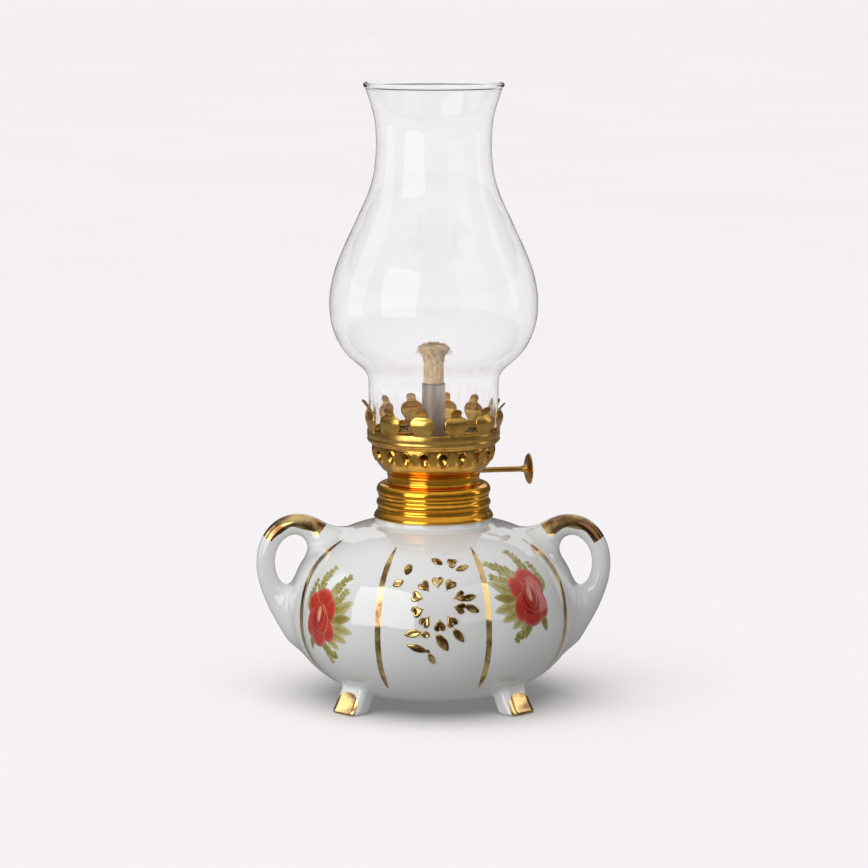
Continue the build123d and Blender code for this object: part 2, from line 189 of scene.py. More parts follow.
def turned_out(turn, radial, side, up):
    """Points so far out from Z and so far aside, in this direction round it."""
    x = radial * math.cos(turn) - side * math.sin(turn)
    y = radial * math.sin(turn) + side * math.cos(turn)
    return np.stack([x, y, up], -1)


def turned(name, profile, segments, closed=True, wobble=None):
    return new_piece(name, *turned_points(profile, segments, closed, wobble))


def thicken(obj, thickness, offset=-1.0):
    """Gives a sheet its metal thickness, inwards by default, and applies it."""
    solid = obj.modifiers.new("thickness", "SOLIDIFY")
    solid.thickness = thickness * MM
    solid.offset = offset
    solid.use_even_offset = False
    apply_modifiers(obj)


def apply_modifiers(obj):
    graph = bpy.context.evaluated_depsgraph_get()
    mesh = bpy.data.meshes.new_from_object(obj.evaluated_get(graph))
    obj.modifiers.clear()
    obj.data = mesh
    mesh.shade_smooth()


def finish_piece(obj, body, look, stands_for=()):
    obj.data.materials.clear()
    obj.data.materials.append(look)
    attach(obj, body)
    if stands_for:
        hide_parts(*stands_for)
    return obj


# ---------------------------------------------------------------- material tools


def srgb(red, green, blue, alpha=1.0):
    """A display colour, 0 to 255, as the linear colour that nodes take."""
    def linear(value):
        value /= 255
        return value / 12.92 if value <= 0.04045 else ((value + 0.055) / 1.055) ** 2.4
    return (linear(red), linear(green), linear(blue), alpha)


class Look:
    """A node material being built around one Principled shader."""

    def __init__(self, name, **settings):
        self.material = bpy.data.materials.new(name)
        self.material.use_nodes = True
        self.tree = self.material.node_tree
        self.shader = self.tree.nodes["Principled BSDF"]
        self.set(self.shader, settings)
        self.place = self.node("ShaderNodeTexCoord").outputs["Object"]

    def set(self, node, settings):
        for name, value in settings.items():
            socket = node.inputs[int(name[1:])] if name[0] == "_" else node.inputs[name.replace("_", " ")]
            if isinstance(value, bpy.types.NodeSocket):
                self.tree.links.new(value, socket)
            else:
                socket.default_value = value

    def node(self, kind, setup=None, **inputs):
        node = self.tree.nodes.new(kind)
        for name, value in (setup or {}).items():
            setattr(node, name, value)
        self.set(node, inputs)
        return node

    def math(self, operation, a, b, clamp=False):
        node = self.node("ShaderNodeMath", {"operation": operation, "use_clamp": clamp}, _0=a, _1=b)
        return node.outputs[0]

    def noise(self, scale, detail, rough=0.5, stretch=(1, 1, 1), distort=0.0):
        moved = self.node("ShaderNodeMapping", Vector=self.place, Scale=stretch).outputs[0]
        settings = {"Scale": scale, "Detail": detail, "Roughness": rough, "Distortion": distort}
        return self.node("ShaderNodeTexNoise", Vector=moved, **settings).outputs["Fac"]

    def ramp(self, value, low, high, out_low=0.0, out_high=1.0):
        setup = {"interpolation_type": "SMOOTHSTEP"}
        node = self.node("ShaderNodeMapRange", setup, _0=value, _1=low, _2=high, _3=out_low, _4=out_high)
        return node.outputs[0]

    def mix(self, factor, a, b):
        node = self.node("ShaderNodeMix", {"data_type": "RGBA"}, _0=factor, _6=a, _7=b)
        return node.outputs[2]

    def bump(self, height, strength, distance):
        node = self.node("ShaderNodeBump", Height=height, Strength=strength, Distance=distance * MM)
        self.set(self.shader, {"Normal": node.outputs[0]})

    def paint(self, name):
        return self.node("ShaderNodeAttribute", {"attribute_name": name}).outputs

    def heights(self):
        """The height above the floor in millimetres."""
        split = self.node("ShaderNodeSeparateXYZ", Vector=self.place)
        return self.math("MULTIPLY", split.outputs["Z"], 1 / MM)


GOLD = srgb(236, 202, 132)
# Deep gold for random patches, darkened to stand in for the dark room seen in the gold: partly random
# tone, partly painted dark reflection.
GOLD_DEEP_PAINTED_REFLECTION = srgb(120, 80, 36)


def porcelain_look():
    """White glaze with gold where the gilt paint's edge distance is positive."""
    look = Look("glazed_porcelain", IOR=1.52, Coat_Weight=0.6, Coat_Roughness=0.02, Coat_IOR=1.5)
    cloud = look.noise(45, 4, 0.55)
    glaze = look.mix(look.ramp(cloud, 0.3, 0.7), srgb(238, 240, 239), srgb(243, 243, 240))
    wavering = look.math("MULTIPLY", look.math("SUBTRACT", look.noise(900, 2), 0.5), 0.012)
    edge = look.math("ADD", look.paint("gilt")["Fac"], wavering)
    gilt = look.ramp(edge, 0.4985, 0.5025)
    worn = look.ramp(look.noise(700, 5, 0.65), 0.62, 0.78, 0.0, 0.35)
    # Random patches of deep gold, partly a painted dark reflection.
    gold = look.mix(look.ramp(look.noise(150, 3), 0.42, 0.66), GOLD, GOLD_DEEP_PAINTED_REFLECTION)
    gilt = look.math("MULTIPLY", gilt, look.math("SUBTRACT", 1.0, worn))
    rough = look.math("ADD", look.math("MULTIPLY", gilt, 0.03), look.ramp(cloud, 0.3, 0.7, 0.06, 0.10))
    colour = look.mix(gilt, glaze, gold)
    look.set(look.shader, {"Base Color": colour, "Metallic": gilt, "Roughness": rough})
    look.bump(look.noise(70, 2, 0.4), 0.25, 0.08)
    return look.material


def enamel_look():
    """Transfer colours under the glaze, read from the painted colours."""
    look = Look("painted_enamel", IOR=1.52, Coat_Weight=0.6, Coat_Roughness=0.03)
    grain = look.ramp(look.noise(2600, 3, 0.6), 0.35, 0.65, 0.90, 1.06)
    shade = look.node("ShaderNodeCombineColor", _0=grain, _1=grain, _2=grain).outputs[0]
    multiply = {"data_type": "RGBA", "blend_type": "MULTIPLY"}
    tint = look.node("ShaderNodeMix", multiply, _0=1.0, _6=look.paint("paint")["Color"], _7=shade)
    rough = look.ramp(grain, 0.9, 1.06, 0.14, 0.22)
    look.set(look.shader, {"Base Color": tint.outputs[2], "Roughness": rough})
    return look.material


def gilt_look():
    """Thick burnished gold, laid on by hand."""
    look = Look("burnished_gilt", Metallic=1.0)
    cloud = look.noise(380, 4, 0.6)
    look.set(look.shader, {
        # Random patches of deep gold, partly a painted dark reflection.
        "Base Color": look.mix(look.ramp(cloud, 0.40, 0.60), GOLD, GOLD_DEEP_PAINTED_REFLECTION),
        "Roughness": look.ramp(cloud, 0.3, 0.7, 0.06, 0.15),
    })
    look.bump(look.noise(2200, 3), 0.3, 0.03)
    return look.material


def brass_look(name, bright, dull, rough, tarnish, lines=0.3, scorched_above=None):
    """Spun brass: fine turning lines, cloudy tarnish, duller patches and heat tint above a height."""
    look = Look(name, Metallic=1.0)
    cloud = look.noise(120, 5, 0.6, distort=0.6)
    blotch = look.ramp(look.noise(420, 5, 0.65), 0.45, 0.72)
    spun = look.noise(30, 4, 0.7, stretch=(1, 1, 150))
    stain = look.math("ADD", look.ramp(cloud, 0.4, 0.75), blotch)
    stain = look.math("MULTIPLY", stain, tarnish, clamp=True)
    tone = look.mix(stain, bright, dull)
    if scorched_above:
        wavy = look.math("ADD", look.heights(), look.math("MULTIPLY", cloud, 1.6))
        heat = look.ramp(wavy, scorched_above, scorched_above + 1.6, 0.0, 0.75)
        tone = look.mix(heat, tone, srgb(150, 88, 34))
    spun_rough = look.ramp(spun, 0.3, 0.7, rough - 0.05, rough + 0.07)
    rough = look.math("ADD", spun_rough, look.math("MULTIPLY", blotch, 0.10))
    look.set(look.shader, {"Base Color": tone, "Roughness": rough})
    look.bump(spun, lines, 0.02)
    return look.material


def steel_look():
    """Drawn steel tube with long streaks and a little grey bloom."""
    look = Look("drawn_steel", Metallic=1.0)
    streak = look.noise(300, 3, 0.5, stretch=(1, 1, 0.06))
    speck = look.ramp(look.noise(1500, 4, 0.7), 0.52, 0.7)
    shade = look.mix(look.ramp(streak, 0.3, 0.7), srgb(186, 177, 165), srgb(144, 134, 122))
    look.set(look.shader, {
        "Base Color": look.mix(look.math("MULTIPLY", speck, 0.45), shade, srgb(112, 98, 82)),
        "Roughness": look.ramp(streak, 0.3, 0.7, 0.27, 0.36),
    })
    look.bump(speck, 0.12, 0.02)
    return look.material


def cotton_look():
    look = Look("cotton_wick", Roughness=0.9, Sheen_Weight=0.5, Sheen_Roughness=0.6)
    cloud = look.noise(600, 5, 0.65)
    fibre = look.noise(3500, 3, 0.6, stretch=(1, 1, 0.2))
    base = look.mix(look.ramp(cloud, 0.3, 0.7), srgb(226, 200, 162), srgb(196, 164, 122))
    between = look.ramp(fibre, 0.45, 0.75, 0.0, 0.6)
    look.set(look.shader, {"Base Color": look.mix(between, base, srgb(150, 116, 78))})
    look.bump(fibre, 0.7, 0.08)
    return look.material


def glass_look():
    """Clear blown glass, faintly seedy and wavy."""
    look = Look("chimney_glass", Transmission_Weight=1.0, IOR=1.38, Base_Color=(0.994, 1.0, 0.997, 1))
    look.set(look.shader, {"Roughness": look.ramp(look.noise(90, 2), 0.4, 0.8, 0.0, 0.012)})
    look.bump(look.noise(28, 2, 0.4, stretch=(1, 1, 0.35)), 0.25, 0.25)
    return look.material


def plain_stuff_look(name, light, dark, rough, scale):
    look = Look(name, Roughness=rough)
    grain = look.noise(scale, 5, 0.65)
    look.set(look.shader, {"Base Color": look.mix(look.ramp(grain, 0.3, 0.7), light, dark)})
    look.bump(grain, 0.5, 0.08)
    return look.material


LOOKS = {
    "porcelain": porcelain_look(),
    "enamel": enamel_look(),
    "gilt": gilt_look(),
    "collar": brass_look("collar_brass", srgb(252, 182, 58), srgb(206, 124, 36), 0.14, 0.30, 0.25),
    "bowl": brass_look("bowl_brass", srgb(240, 186, 90), srgb(168, 102, 36), 0.15, 0.36),
    "crown": brass_look("crown_brass", srgb(248, 200, 108), srgb(188, 118, 44), 0.24, 0.45, 0.1, 86.0),
    "plate": brass_look("plate_brass", srgb(240, 200, 112), srgb(190, 132, 60), 0.45, 0.35, 0.1),
    "fittings": brass_look("fittings_brass", srgb(214, 164, 86), srgb(124, 84, 40), 0.20, 0.5, 0.15),
    "steel": steel_look(),
    "cotton": cotton_look(),
    "glass": glass_look(),
    "plaster": plain_stuff_look("bedding_plaster", srgb(226, 221, 210), srgb(196, 188, 174), 0.9, 900),
    "gasket": plain_stuff_look("gasket_rubber", srgb(52, 46, 42), srgb(30, 27, 26), 0.7, 1500),
}

# ---------------------------------------------------------------- porcelain: font, handles and feet

FONT_PROFILE = [
    (0.0, 2.5), (8.0, 2.45), (16.0, 2.6), (25.4, 4.0), (33.4, 8.3), (38.9, 14.1), (41.8, 20.5),
    (42.45, 26.5), (41.3, 34.0), (37.9, 41.0), (32.4, 46.1), (25.9, 49.6), (20.6, 51.3),
]
BAND_RADIUS = 16.9
NECK_OUTER = 15.4
SOLID_TOP = 57.0
JOIN_HEIGHT = 54.6
HANDLE = [
    (28.0, 43.5, 4.6, 4.6),
    (32.4, 47.1, 4.0, 4.0),
    (36.6, 50.2, 3.4, 3.4),
    (40.6, 51.1, 3.0, 3.15),
    (44.9, 49.4, 2.9, 3.05),
    (48.1, 45.3, 2.75, 3.0),
    (49.2, 40.4, 2.7, 3.0),
    (48.7, 35.6, 2.8, 3.1),
    (46.9, 31.0, 3.2, 3.3),
    (44.0, 26.8, 4.2, 3.8),
    (39.0, 22.0, 5.8, 4.6),
]
FOOT_TOP = 10.5


def crown_curve():
    """The line of a lobe's crown from the axis to under the collar."""
    belly = spline(FONT_PROFILE, 260)
    shoulder = [belly[-1], (18.2, 51.75), (17.2, 52.3), (BAND_RADIUS, 53.3), (BAND_RADIUS - 0.3, 54.2)]
    band = spline(shoulder, 30)
    return np.concatenate([belly, band[1:], [[NECK_OUTER, 54.4], [NECK_OUTER, SOLID_TOP]]])


CROWN = crown_curve()
TABLE_STEP = 0.2


def outline_distance(outline, step, reach_r, reach_z):
    """A table of signed distances to a closed outline in the (radius, height) plane, negative inside."""
    r, z = np.arange(-step, reach_r, step), np.arange(*reach_z, step)
    p = np.stack(np.meshgrid(r, z, indexing="ij"), -1).reshape(-1, 1, 2)
    best, crossings = np.full(len(p), 1e9), np.zeros(len(p), int)
    a, b = outline, np.roll(outline, -1, 0)
    for start, end in zip(a, b):
        side = end - start
        t = np.clip(((p[:, 0] - start) @ side) / max(side @ side, 1e-12), 0, 1)
        if end[0] + start[0] > 1e-6:  # a side along the axis is no surface
            best = np.minimum(best, np.linalg.norm(p[:, 0] - start - t[:, None] * side, axis=1))
        spans = (start[1] > p[:, 0, 1]) != (end[1] > p[:, 0, 1])
        if side[1]:
            crossings += spans & (p[:, 0, 0] < start[0] + (p[:, 0, 1] - start[1]) * side[0] / side[1])
    table = np.where(crossings % 2 == 1, -best, best).reshape(len(r), len(z))
    return table, r[0], z[0], step


def look_up(table, r, z):
    values, r0, z0, step = table
    i = np.clip((r - r0) / step, 0, values.shape[0] - 1.001)
    j = np.clip((z - z0) / step, 0, values.shape[1] - 1.001)
    i0, j0 = i.astype(int), j.astype(int)
    u, v = i - i0, j - j0
    low = values[i0, j0] * (1 - u) + values[i0 + 1, j0] * u
    high = values[i0, j0 + 1] * (1 - u) + values[i0 + 1, j0 + 1] * u
    return low * (1 - v) + high * v


def merge(a, b, width):
    """The union of two shapes with a fillet."""
    return np.minimum(a, b) - np.maximum(width - np.abs(a - b), 0) ** 2 / (4 * width)


def groove_depth(z):
    rise = np.clip((z - 3.5) / (51.0 - 3.5), 0, 1)
    return GROOVE_DEPTH * np.sin(math.pi * rise) ** 0.8


def lobe_turn(angle):
    """How far across its lobe a direction lies, from -1 to 1, with the grooves at both ends."""
    half = math.pi / LOBES
    return ((angle + half) % (2 * half) - half) / half


def groove_shape(angle):
    across = np.abs(lobe_turn(angle))
    return across**2.4 - 0.10 * np.exp(-(((across - 1) / 0.06) ** 2))


def sweep_distance(x, y, z, stations):
    """Distances to a swept elliptical rod in the XZ plane, and how far along and beside it they are."""
    best = np.full(x.shape, 1e9)
    along, beside, wide, thick = (np.zeros(x.shape) for _ in range(4))
    for k, (a, b) in enumerate(zip(stations[:-1], stations[1:])):
        side = b[:2] - a[:2]
        t = np.clip(((x - a[0]) * side[0] + (z - a[1]) * side[1]) / (side @ side), 0, 1)
        dx, dz = x - a[0] - t * side[0], z - a[1] - t * side[1]
        gap = np.hypot(dx, dz)
        near = gap < best
        best = np.where(near, gap, best)
        along = np.where(near, (k + t) / (len(stations) - 1), along)
        beside = np.where(near, gap * np.sign(side[0] * dz - side[1] * dx), beside)
        wide = np.where(near, a[2] + t * (b[2] - a[2]), wide)
        thick = np.where(near, a[3] + t * (b[3] - a[3]), thick)
    scale = np.sqrt((best / wide) ** 2 + (y / thick) ** 2) + 1e-6
    slope = np.sqrt((best / wide**2) ** 2 + (y / thick**2) ** 2) + 1e-6
    return scale * (scale - 1) / slope, along, beside


HANDLE_PATH = spline(HANDLE, 60)
HANDLE_LENGTH = np.linalg.norm(np.diff(HANDLE_PATH[:, :2], axis=0), axis=1).sum()
LINE_BOTTOM, LINE_TOP = 8.4, 49.0


def handle_distance(p):
    x, y, z = np.abs(p[:, 0]), p[:, 1], p[:, 2]
    far = (x < 21) | (np.abs(y) > 12) | (z < 12) | (z > 62)
    out = np.full(len(p), 12.0)
    near = ~far
    out[near] = sweep_distance(x[near], y[near], z[near], HANDLE_PATH)[0]
    return out


def foot_place(p):
    """A point in the frame of the foot in its quarter: outwards, sideways and up."""
    x, y = np.abs(p[:, 0]), np.abs(p[:, 1])
    return (x + y) / math.sqrt(2), (x - y) / math.sqrt(2), p[:, 2]


def foot_middle(z):
    return 29.6 + 4.6 * np.clip(1 - z / FOOT_TOP, 0, 1.4) ** 1.5


def foot_distance(p):
    out, side, z = foot_place(p)
    rise = np.clip(z / FOOT_TOP, 0, 1)
    half_thick, half_wide, corner = 3.5 - 0.5 * rise, 5.1 - 0.3 * rise, 2.3
    a = np.abs(out - foot_middle(z)) - half_thick + corner
    b = np.abs(side) - half_wide + corner
    box = np.hypot(np.maximum(a, 0), np.maximum(b, 0)) + np.minimum(np.maximum(a, b), 0) - corner
    over = np.maximum(z - FOOT_TOP, -z)
    joined = -merge(-box, -over, 1.2)
    return joined * 0.9


FONT_TABLE = outline_distance(np.concatenate([CROWN, [[0.0, SOLID_TOP]]]), TABLE_STEP, 60, (-4, 66))


def font_distance(p):
    radius, angle = np.hypot(p[:, 0], p[:, 1]), np.arctan2(p[:, 1], p[:, 0])
    return look_up(FONT_TABLE, radius + groove_depth(p[:, 2]) * groove_shape(angle), p[:, 2])


HANDLE_FILLET, FOOT_FILLET = 5.5, 1.5


def porcelain_distance(p):
    with_handles = merge(font_distance(p), handle_distance(p), HANDLE_FILLET)
    return merge(with_handles, foot_distance(p), FOOT_FILLET)


def surface_net(field, low, high, step):
    """A quad mesh of the field's zero surface."""
    axes = [np.arange(a, b + step, step) for a, b in zip(low, high)]
    sizes = [len(a) for a in axes]
    values = np.empty(sizes)
    for i, x in enumerate(axes[0]):
        y, z = np.meshgrid(axes[1], axes[2], indexing="ij")
        values[i] = field(np.stack([np.full(y.size, x), y.ravel(), z.ravel()], -1)).reshape(y.shape)
    strides = np.array([sizes[1] * sizes[2], sizes[2], 1])
    quads, cells, crossings = [], [], []
    for axis in range(3):
        lower, upper = [slice(None)] * 3, [slice(None)] * 3
        lower[axis], upper[axis] = slice(0, -1), slice(1, None)
        a, b = values[tuple(lower)], values[tuple(upper)]
        edge = np.argwhere((a < 0) != (b < 0))
        start, end = a[tuple(edge.T)], b[tuple(edge.T)]
        where = edge.astype(float)
        where[:, axis] += start / (start - end)
        ring = []
        for back_u, back_v in ((0, 0), (1, 0), (1, 1), (0, 1)):
            cell = edge.copy()
            cell[:, (axis + 1) % 3] -= back_u
            cell[:, (axis + 2) % 3] -= back_v
            ring.append(cell @ strides)
        ring = np.stack(ring, 1)
        quads.append(np.where((start < 0)[:, None], ring, ring[:, ::-1]))
        cells.append(ring.ravel())
        crossings.append(np.repeat(where, 4, axis=0))
    ids, place = np.unique(np.concatenate(cells), return_inverse=True)
    crossings = np.concatenate(crossings)
    count = np.bincount(place)
    points = np.stack([np.bincount(place, crossings[:, k]) / count for k in range(3)], -1)
    return np.array(low) + points * step, np.searchsorted(ids, np.concatenate(quads))


def slope_of(field, p):
    reach = 0.03
    return np.stack([(field(p + reach * e) - field(p - reach * e)) / (2 * reach) for e in np.eye(3)], -1)


def drawn_to(field, p, level=0.0, rounds=2):
    """Moves points onto the surface at this distance outside the field's zero surface."""
    for _ in range(rounds):
        slope = slope_of(field, p)
        p = p - ((field(p) - level) / np.maximum((slope**2).sum(1), 0.05))[:, None] * slope
    return p


RELAXING_ROUNDS = 3


def evened(field, points, quads):
    """Relaxes a net along its surface, so that it shades smoothly."""
    for _ in range(RELAXING_ROUNDS):
        total, count = np.zeros(points.shape), np.bincount(quads.ravel(), minlength=len(points))
        for shift in (1, 3):
            neighbours = points[np.roll(quads, shift, 1)].reshape(-1, 3)
            for k in range(3):
                total[:, k] += np.bincount(quads.ravel(), neighbours[:, k], minlength=len(points))
        points = points + 0.6 * (total / (2 * count[:, None]) - points)
        points = drawn_to(field, points, rounds=1)
    return drawn_to(field, points)


NO_GOLD = -5.0
ARC_START, ARC_END = 0.145, 0.455
TOE_HALF_WIDE, TOE_HALF_TALL, TOE_POWER = 4.5, 5.7, 2.6


def gilt_edge(p):
    """How far inside the gold paint each point is: gold where positive, in millimetres."""
    radius, angle = np.hypot(p[:, 0], p[:, 1]), np.arctan2(p[:, 1], p[:, 0])
    from_groove = (1 - np.abs(lobe_turn(angle))) * math.pi / LOBES * radius
    sideways = np.clip((np.abs(np.cos(angle)) - 0.5) / 0.3, 0, 1)
    taper = np.clip(np.minimum((p[:, 2] - LINE_BOTTOM) / 4.5, (LINE_TOP - p[:, 2]) / 4.0), 0, 1)
    line = (0.88 + 0.5 * sideways) * taper**0.6 - from_groove
    free = (p[:, 2] > LINE_BOTTOM) & (p[:, 2] < LINE_TOP) & (radius > 24)
    line = np.where(free, line, NO_GOLD)

    _, along, beside = sweep_distance(np.abs(p[:, 0]), p[:, 1], p[:, 2], HANDLE_PATH)
    ends = np.minimum(along - ARC_START, ARC_END - along) * HANDLE_LENGTH
    arc = np.minimum(ends, beside + 0.45 + 0.25 * np.sin(1.1 * p[:, 0]))
    arc = np.where((np.abs(p[:, 0]) > 29) & (p[:, 2] > 42), arc, NO_GOLD)

    out, side, z = foot_place(p)
    ring = np.abs(side / TOE_HALF_WIDE) ** TOE_POWER + np.abs((z - 0.4) / TOE_HALF_TALL) ** TOE_POWER
    ring = ring ** (1 / TOE_POWER)
    facing = out - foot_middle(z) - 0.3
    toe = np.where(z < 9, np.minimum((1 - ring) * 4.0, facing), NO_GOLD)
    return np.maximum(np.maximum(line, arc), toe)


FIELD_LOW, FIELD_HIGH = (-54.1, -44.6, -1.0), (54.6, 45.0, 58.5)
BORE, HOLLOW_TOP = 13.3, 50.2


def porcelain_skin():
    step = 0.56
    points, quads = surface_net(porcelain_distance, FIELD_LOW, FIELD_HIGH, step)
    points = evened(porcelain_distance, points, quads)
    under_collar = (points[:, 2] < JOIN_HEIGHT) | (np.hypot(points[:, 0], points[:, 1]) > 22)
    quads = quads[under_collar[quads].all(1)]
    neck = [(NECK_OUTER, 54.5), (NECK_OUTER, 60.6), (15.0, 61.0), (13.7, 61.0), (BORE, 60.6)]
    hollow = spline([
        (BORE, HOLLOW_TOP), (14.6, 48.9), (20.0, 47.4), (29.0, 43.3), (35.8, 36.0), (38.2, 27.0),
        (37.2, 19.6), (32.6, 12.6), (25.5, 7.6), (15.0, 6.0), (0.0, 5.8),
    ], 60)
    inner, inner_quads = turned_points(np.concatenate([neck, hollow]), 96, closed=False)
    paint = np.concatenate([gilt_edge(points), np.full(len(inner), NO_GOLD)])
    faces = np.concatenate([quads, inner_quads + len(points)])
    obj = new_piece("porcelain_font", np.concatenate([points, inner]), faces, weld=0, outward=False)
    paint_points(obj, "gilt", np.repeat((0.5 + paint / 20)[:, None], 4, axis=1))
    return obj


skin = porcelain_skin()
CAST = ["font_shell", "left_handle", "right_handle"] + [n for n in NODES if n.startswith("foot_")]
finish_piece(skin, "font", LOOKS["porcelain"], CAST)

# ---------------------------------------------------------------- painted flowers and gold relief


class Panel:
    """Draws flat shapes on the crown of one lobe, in millimetres across and up from its widest height."""

    def __init__(self, direction):
        self.direction = math.radians(direction)
        steps = np.linalg.norm(np.diff(CROWN, axis=0), axis=1)
        length = np.concatenate([[0], np.cumsum(steps)])
        self.length = length - length[np.argmax(CROWN[:, 0])]

    def place(self, across, up, lift):
        radius = np.interp(up, self.length, CROWN[:, 0])
        height = np.interp(up, self.length, CROWN[:, 1])
        angle = self.direction + across / radius
        points = np.stack([radius * np.cos(angle), radius * np.sin(angle), height], -1)
        points = drawn_to(porcelain_distance, points, 0.0, rounds=3)
        slope = slope_of(porcelain_distance, points)
        return points + slope / np.linalg.norm(slope, axis=1)[:, None] * lift[:, None]


class Drawing(Patches):
    """Gathers flat shapes with their colours into one mesh."""

    RINGS = 7
    SPOKES = 36

    def __init__(self):
        super().__init__()
        self.colours = []

    def shape(self, panel, outline, lift, colour=None):
        """Fills an outline with rings round its middle, lifted by ring and coloured by ring and spoke."""
        middle = outline.mean(0)
        ring = np.concatenate([[0.02], np.linspace(0, 1, self.RINGS + 1)[1:]])[:, None]
        spoke = np.arange(len(outline))[None, :] / len(outline)
        flat = middle + (outline[None, :, :] - middle) * ring[:, :, None]
        ring, spoke = np.broadcast_arrays(ring, spoke)
        placed = panel.place(flat[..., 0].ravel(), flat[..., 1].ravel(), lift(ring).ravel())
        self.add(placed.reshape(*ring.shape, 3))
        if colour:
            self.colours.append(colour(ring, spoke).reshape(-1, 3))

    def piece(self, name):
        obj = super().piece(name, weld=0, outward=False)
        if self.colours:
            colours = np.concatenate(self.colours)
            paint_points(obj, "paint", np.concatenate([colours, np.ones((len(colours), 1))], 1))
        return obj


def blade(length, width, fullness, point, spokes=Drawing.SPOKES):
    """A leaf or petal outline that starts at the origin and runs up. fullness is where it is widest."""
    turn = np.linspace(0, TAU, spokes, endpoint=False)
    along = (1 - np.cos(turn)) / 2
    bulge = np.sin(math.pi * along ** (math.log(0.5) / math.log(fullness)))
    side = np.sign(np.sin(turn)) * np.abs(bulge) ** point * width / 2
    return np.stack([side, along * length], -1)


def turned_flat(points, degrees, at):
    cos, sin = math.cos(math.radians(degrees)), math.sin(math.radians(degrees))
    x, y = points[..., 0], points[..., 1]
    return np.stack([x * cos - y * sin, x * sin + y * cos], -1) + np.asarray(at)


def colour_of(*rgb):
    return np.array(srgb(*rgb)[:3])


PAPER = colour_of(236, 236, 234)


def washed(inner, outer, edge_fade, streaks=0):
    """Colours from a shape's middle to its rim, streaked like brush strokes and thinner at the edge."""
    def paint(ring, spoke):
        t = ring[..., None] ** 1.3
        colour = inner * (1 - t) + outer * t
        if streaks:
            stroke = 0.5 + 0.5 * np.sin(TAU * streaks * spoke + 2 * ring)
            colour = colour * (0.84 + 0.22 * stroke[..., None] * np.minimum(ring * 1.6, 1)[..., None])
        thin = edge_fade * np.clip((ring - 0.82) / 0.18, 0, 1)[..., None]
        return colour * (1 - thin) + PAPER * thin
    return paint


LAYER = 0.012


def flat_lift(layer):
    def lift(ring):
        return LAYER * (1 + layer) * np.where(ring > 0.97, 0.4, 1.0)
    return lift


RED, DEEP_RED, SCARLET = colour_of(216, 64, 46), colour_of(192, 24, 12), colour_of(214, 50, 28)
PINK, CORAL, BLUSH, PALE_HEART = (
    colour_of(236, 124, 104), colour_of(244, 130, 96), colour_of(250, 174, 144), colour_of(255, 220, 198)
)
OLIVE, LEAF, PALE_LEAF, STEM = (
    colour_of(150, 138, 46), colour_of(194, 182, 98), colour_of(226, 220, 164), colour_of(170, 158, 84)
)


def egg(half_wide, half_tall, lobes=3, unevenness=0.05, phase=0.0):
    """A slightly lobed oval outline round the origin."""
    turn = np.linspace(0, TAU, Drawing.SPOKES, endpoint=False)
    reach = 1 + unevenness * np.sin(lobes * turn + phase)
    return np.stack([half_wide * np.sin(turn) * reach, half_tall * np.cos(turn) * reach], -1)


def rimmed(inner, rim, width, shade, fade=0.0, seed=0.0):
    """A petal's colours: a pale rim round a deeper middle, brush strokes and a darker lower side."""
    def paint(ring, spoke):
        edge = np.clip((ring - (1 - width)) / width, 0, 1)[..., None] ** 1.5
        colour = inner * (1 - edge) + rim * edge
        stroke = 0.5 + 0.5 * np.sin(TAU * 4 * spoke + seed + 1.5 * ring)
        below = 0.5 - 0.5 * np.cos(TAU * spoke)
        light = (0.5 * stroke + 0.5 * (1 - below) - 0.5) * np.minimum(2 * ring, 1)
        colour = colour * (1 + shade * light)[..., None]
        thin = fade * np.clip((ring - 0.85) / 0.15, 0, 1)[..., None]
        return np.clip(colour * (1 - thin) + PAPER * thin, 0, 1)
    return paint


OUTER_PETALS = [
    (0.3, 4.5, 4.0, 3.7, 4), (-3.3, 2.7, 2.9, 3.7, 20), (-3.4, -2.0, 2.7, 4.2, -12),
    (3.5, 2.0, 2.4, 3.9, -16), (3.3, -2.7, 2.6, 3.9, 14), (-0.5, -4.9, 3.7, 3.3, 0),
]
CUP_PETALS = [
    (-0.2, -0.9, 3.9, 5.0, -4), (0.5, -0.6, 3.3, 4.5, 6), (-0.4, -0.3, 2.8, 4.1, -6),
    (0.3, 0.1, 2.2, 3.6, 4), (-0.1, 0.5, 1.6, 3.1, -2),
]


def rose(drawing, panel, at, tall, wide, tilt, draw):
    """A full-blown rose: open outer petals, nested cup petals with pale rims and a folded pale heart."""
    stretch = np.array([wide, tall])

    def petal(across, up, half_wide, half_tall, lean, layer, colours, lobes=3, unevenness=0.05):
        outline = egg(half_wide, half_tall, lobes, unevenness, draw.uniform(0, TAU))
        outline = (turned_flat(outline, lean, (0, 0)) + (across, up)) * stretch
        outline = turned_flat(outline, tilt, at)
        drawing.shape(panel, outline, flat_lift(layer), colours)

    for k, (across, up, half_wide, half_tall, lean) in enumerate(OUTER_PETALS):
        colours = rimmed(RED, PINK, 0.45, 0.35, 0.3, draw.uniform(0, 6))
        petal(across, up, half_wide, half_tall, lean, 6 + k % 3, colours, 2, 0.07)
    for k, (across, up, half_wide, half_tall, lean) in enumerate(CUP_PETALS):
        deep, rim = (DEEP_RED, CORAL) if k % 2 == 0 else (SCARLET, BLUSH)
        colours = rimmed(deep, rim, 0.26, 0.3, 0.0, draw.uniform(0, 6))
        petal(across, up, half_wide, half_tall, lean, 9 + k, colours)
    petal(-0.1, 0.8, 0.95, 2.5, -3, 15, rimmed(BLUSH, CORAL, 0.5, 0.1))
    petal(0.1, 0.5, 0.3, 1.7, -3, 16, rimmed(PALE_HEART, BLUSH, 0.6, 0.0), 2, 0.0)


def leaf(drawing, panel, at, degrees, length, width, layer, inner, outer):
    outline = turned_flat(blade(length, width, 0.46, 0.75), degrees, at)
    drawing.shape(panel, outline, flat_lift(layer), washed(inner, outer, 0.45, 6))
    vein = turned_flat(blade(length * 0.86, 0.3, 0.4, 0.8, 16), degrees, at)
    drawing.shape(panel, vein, flat_lift(layer + 1), washed(OLIVE, LEAF, 0.2))


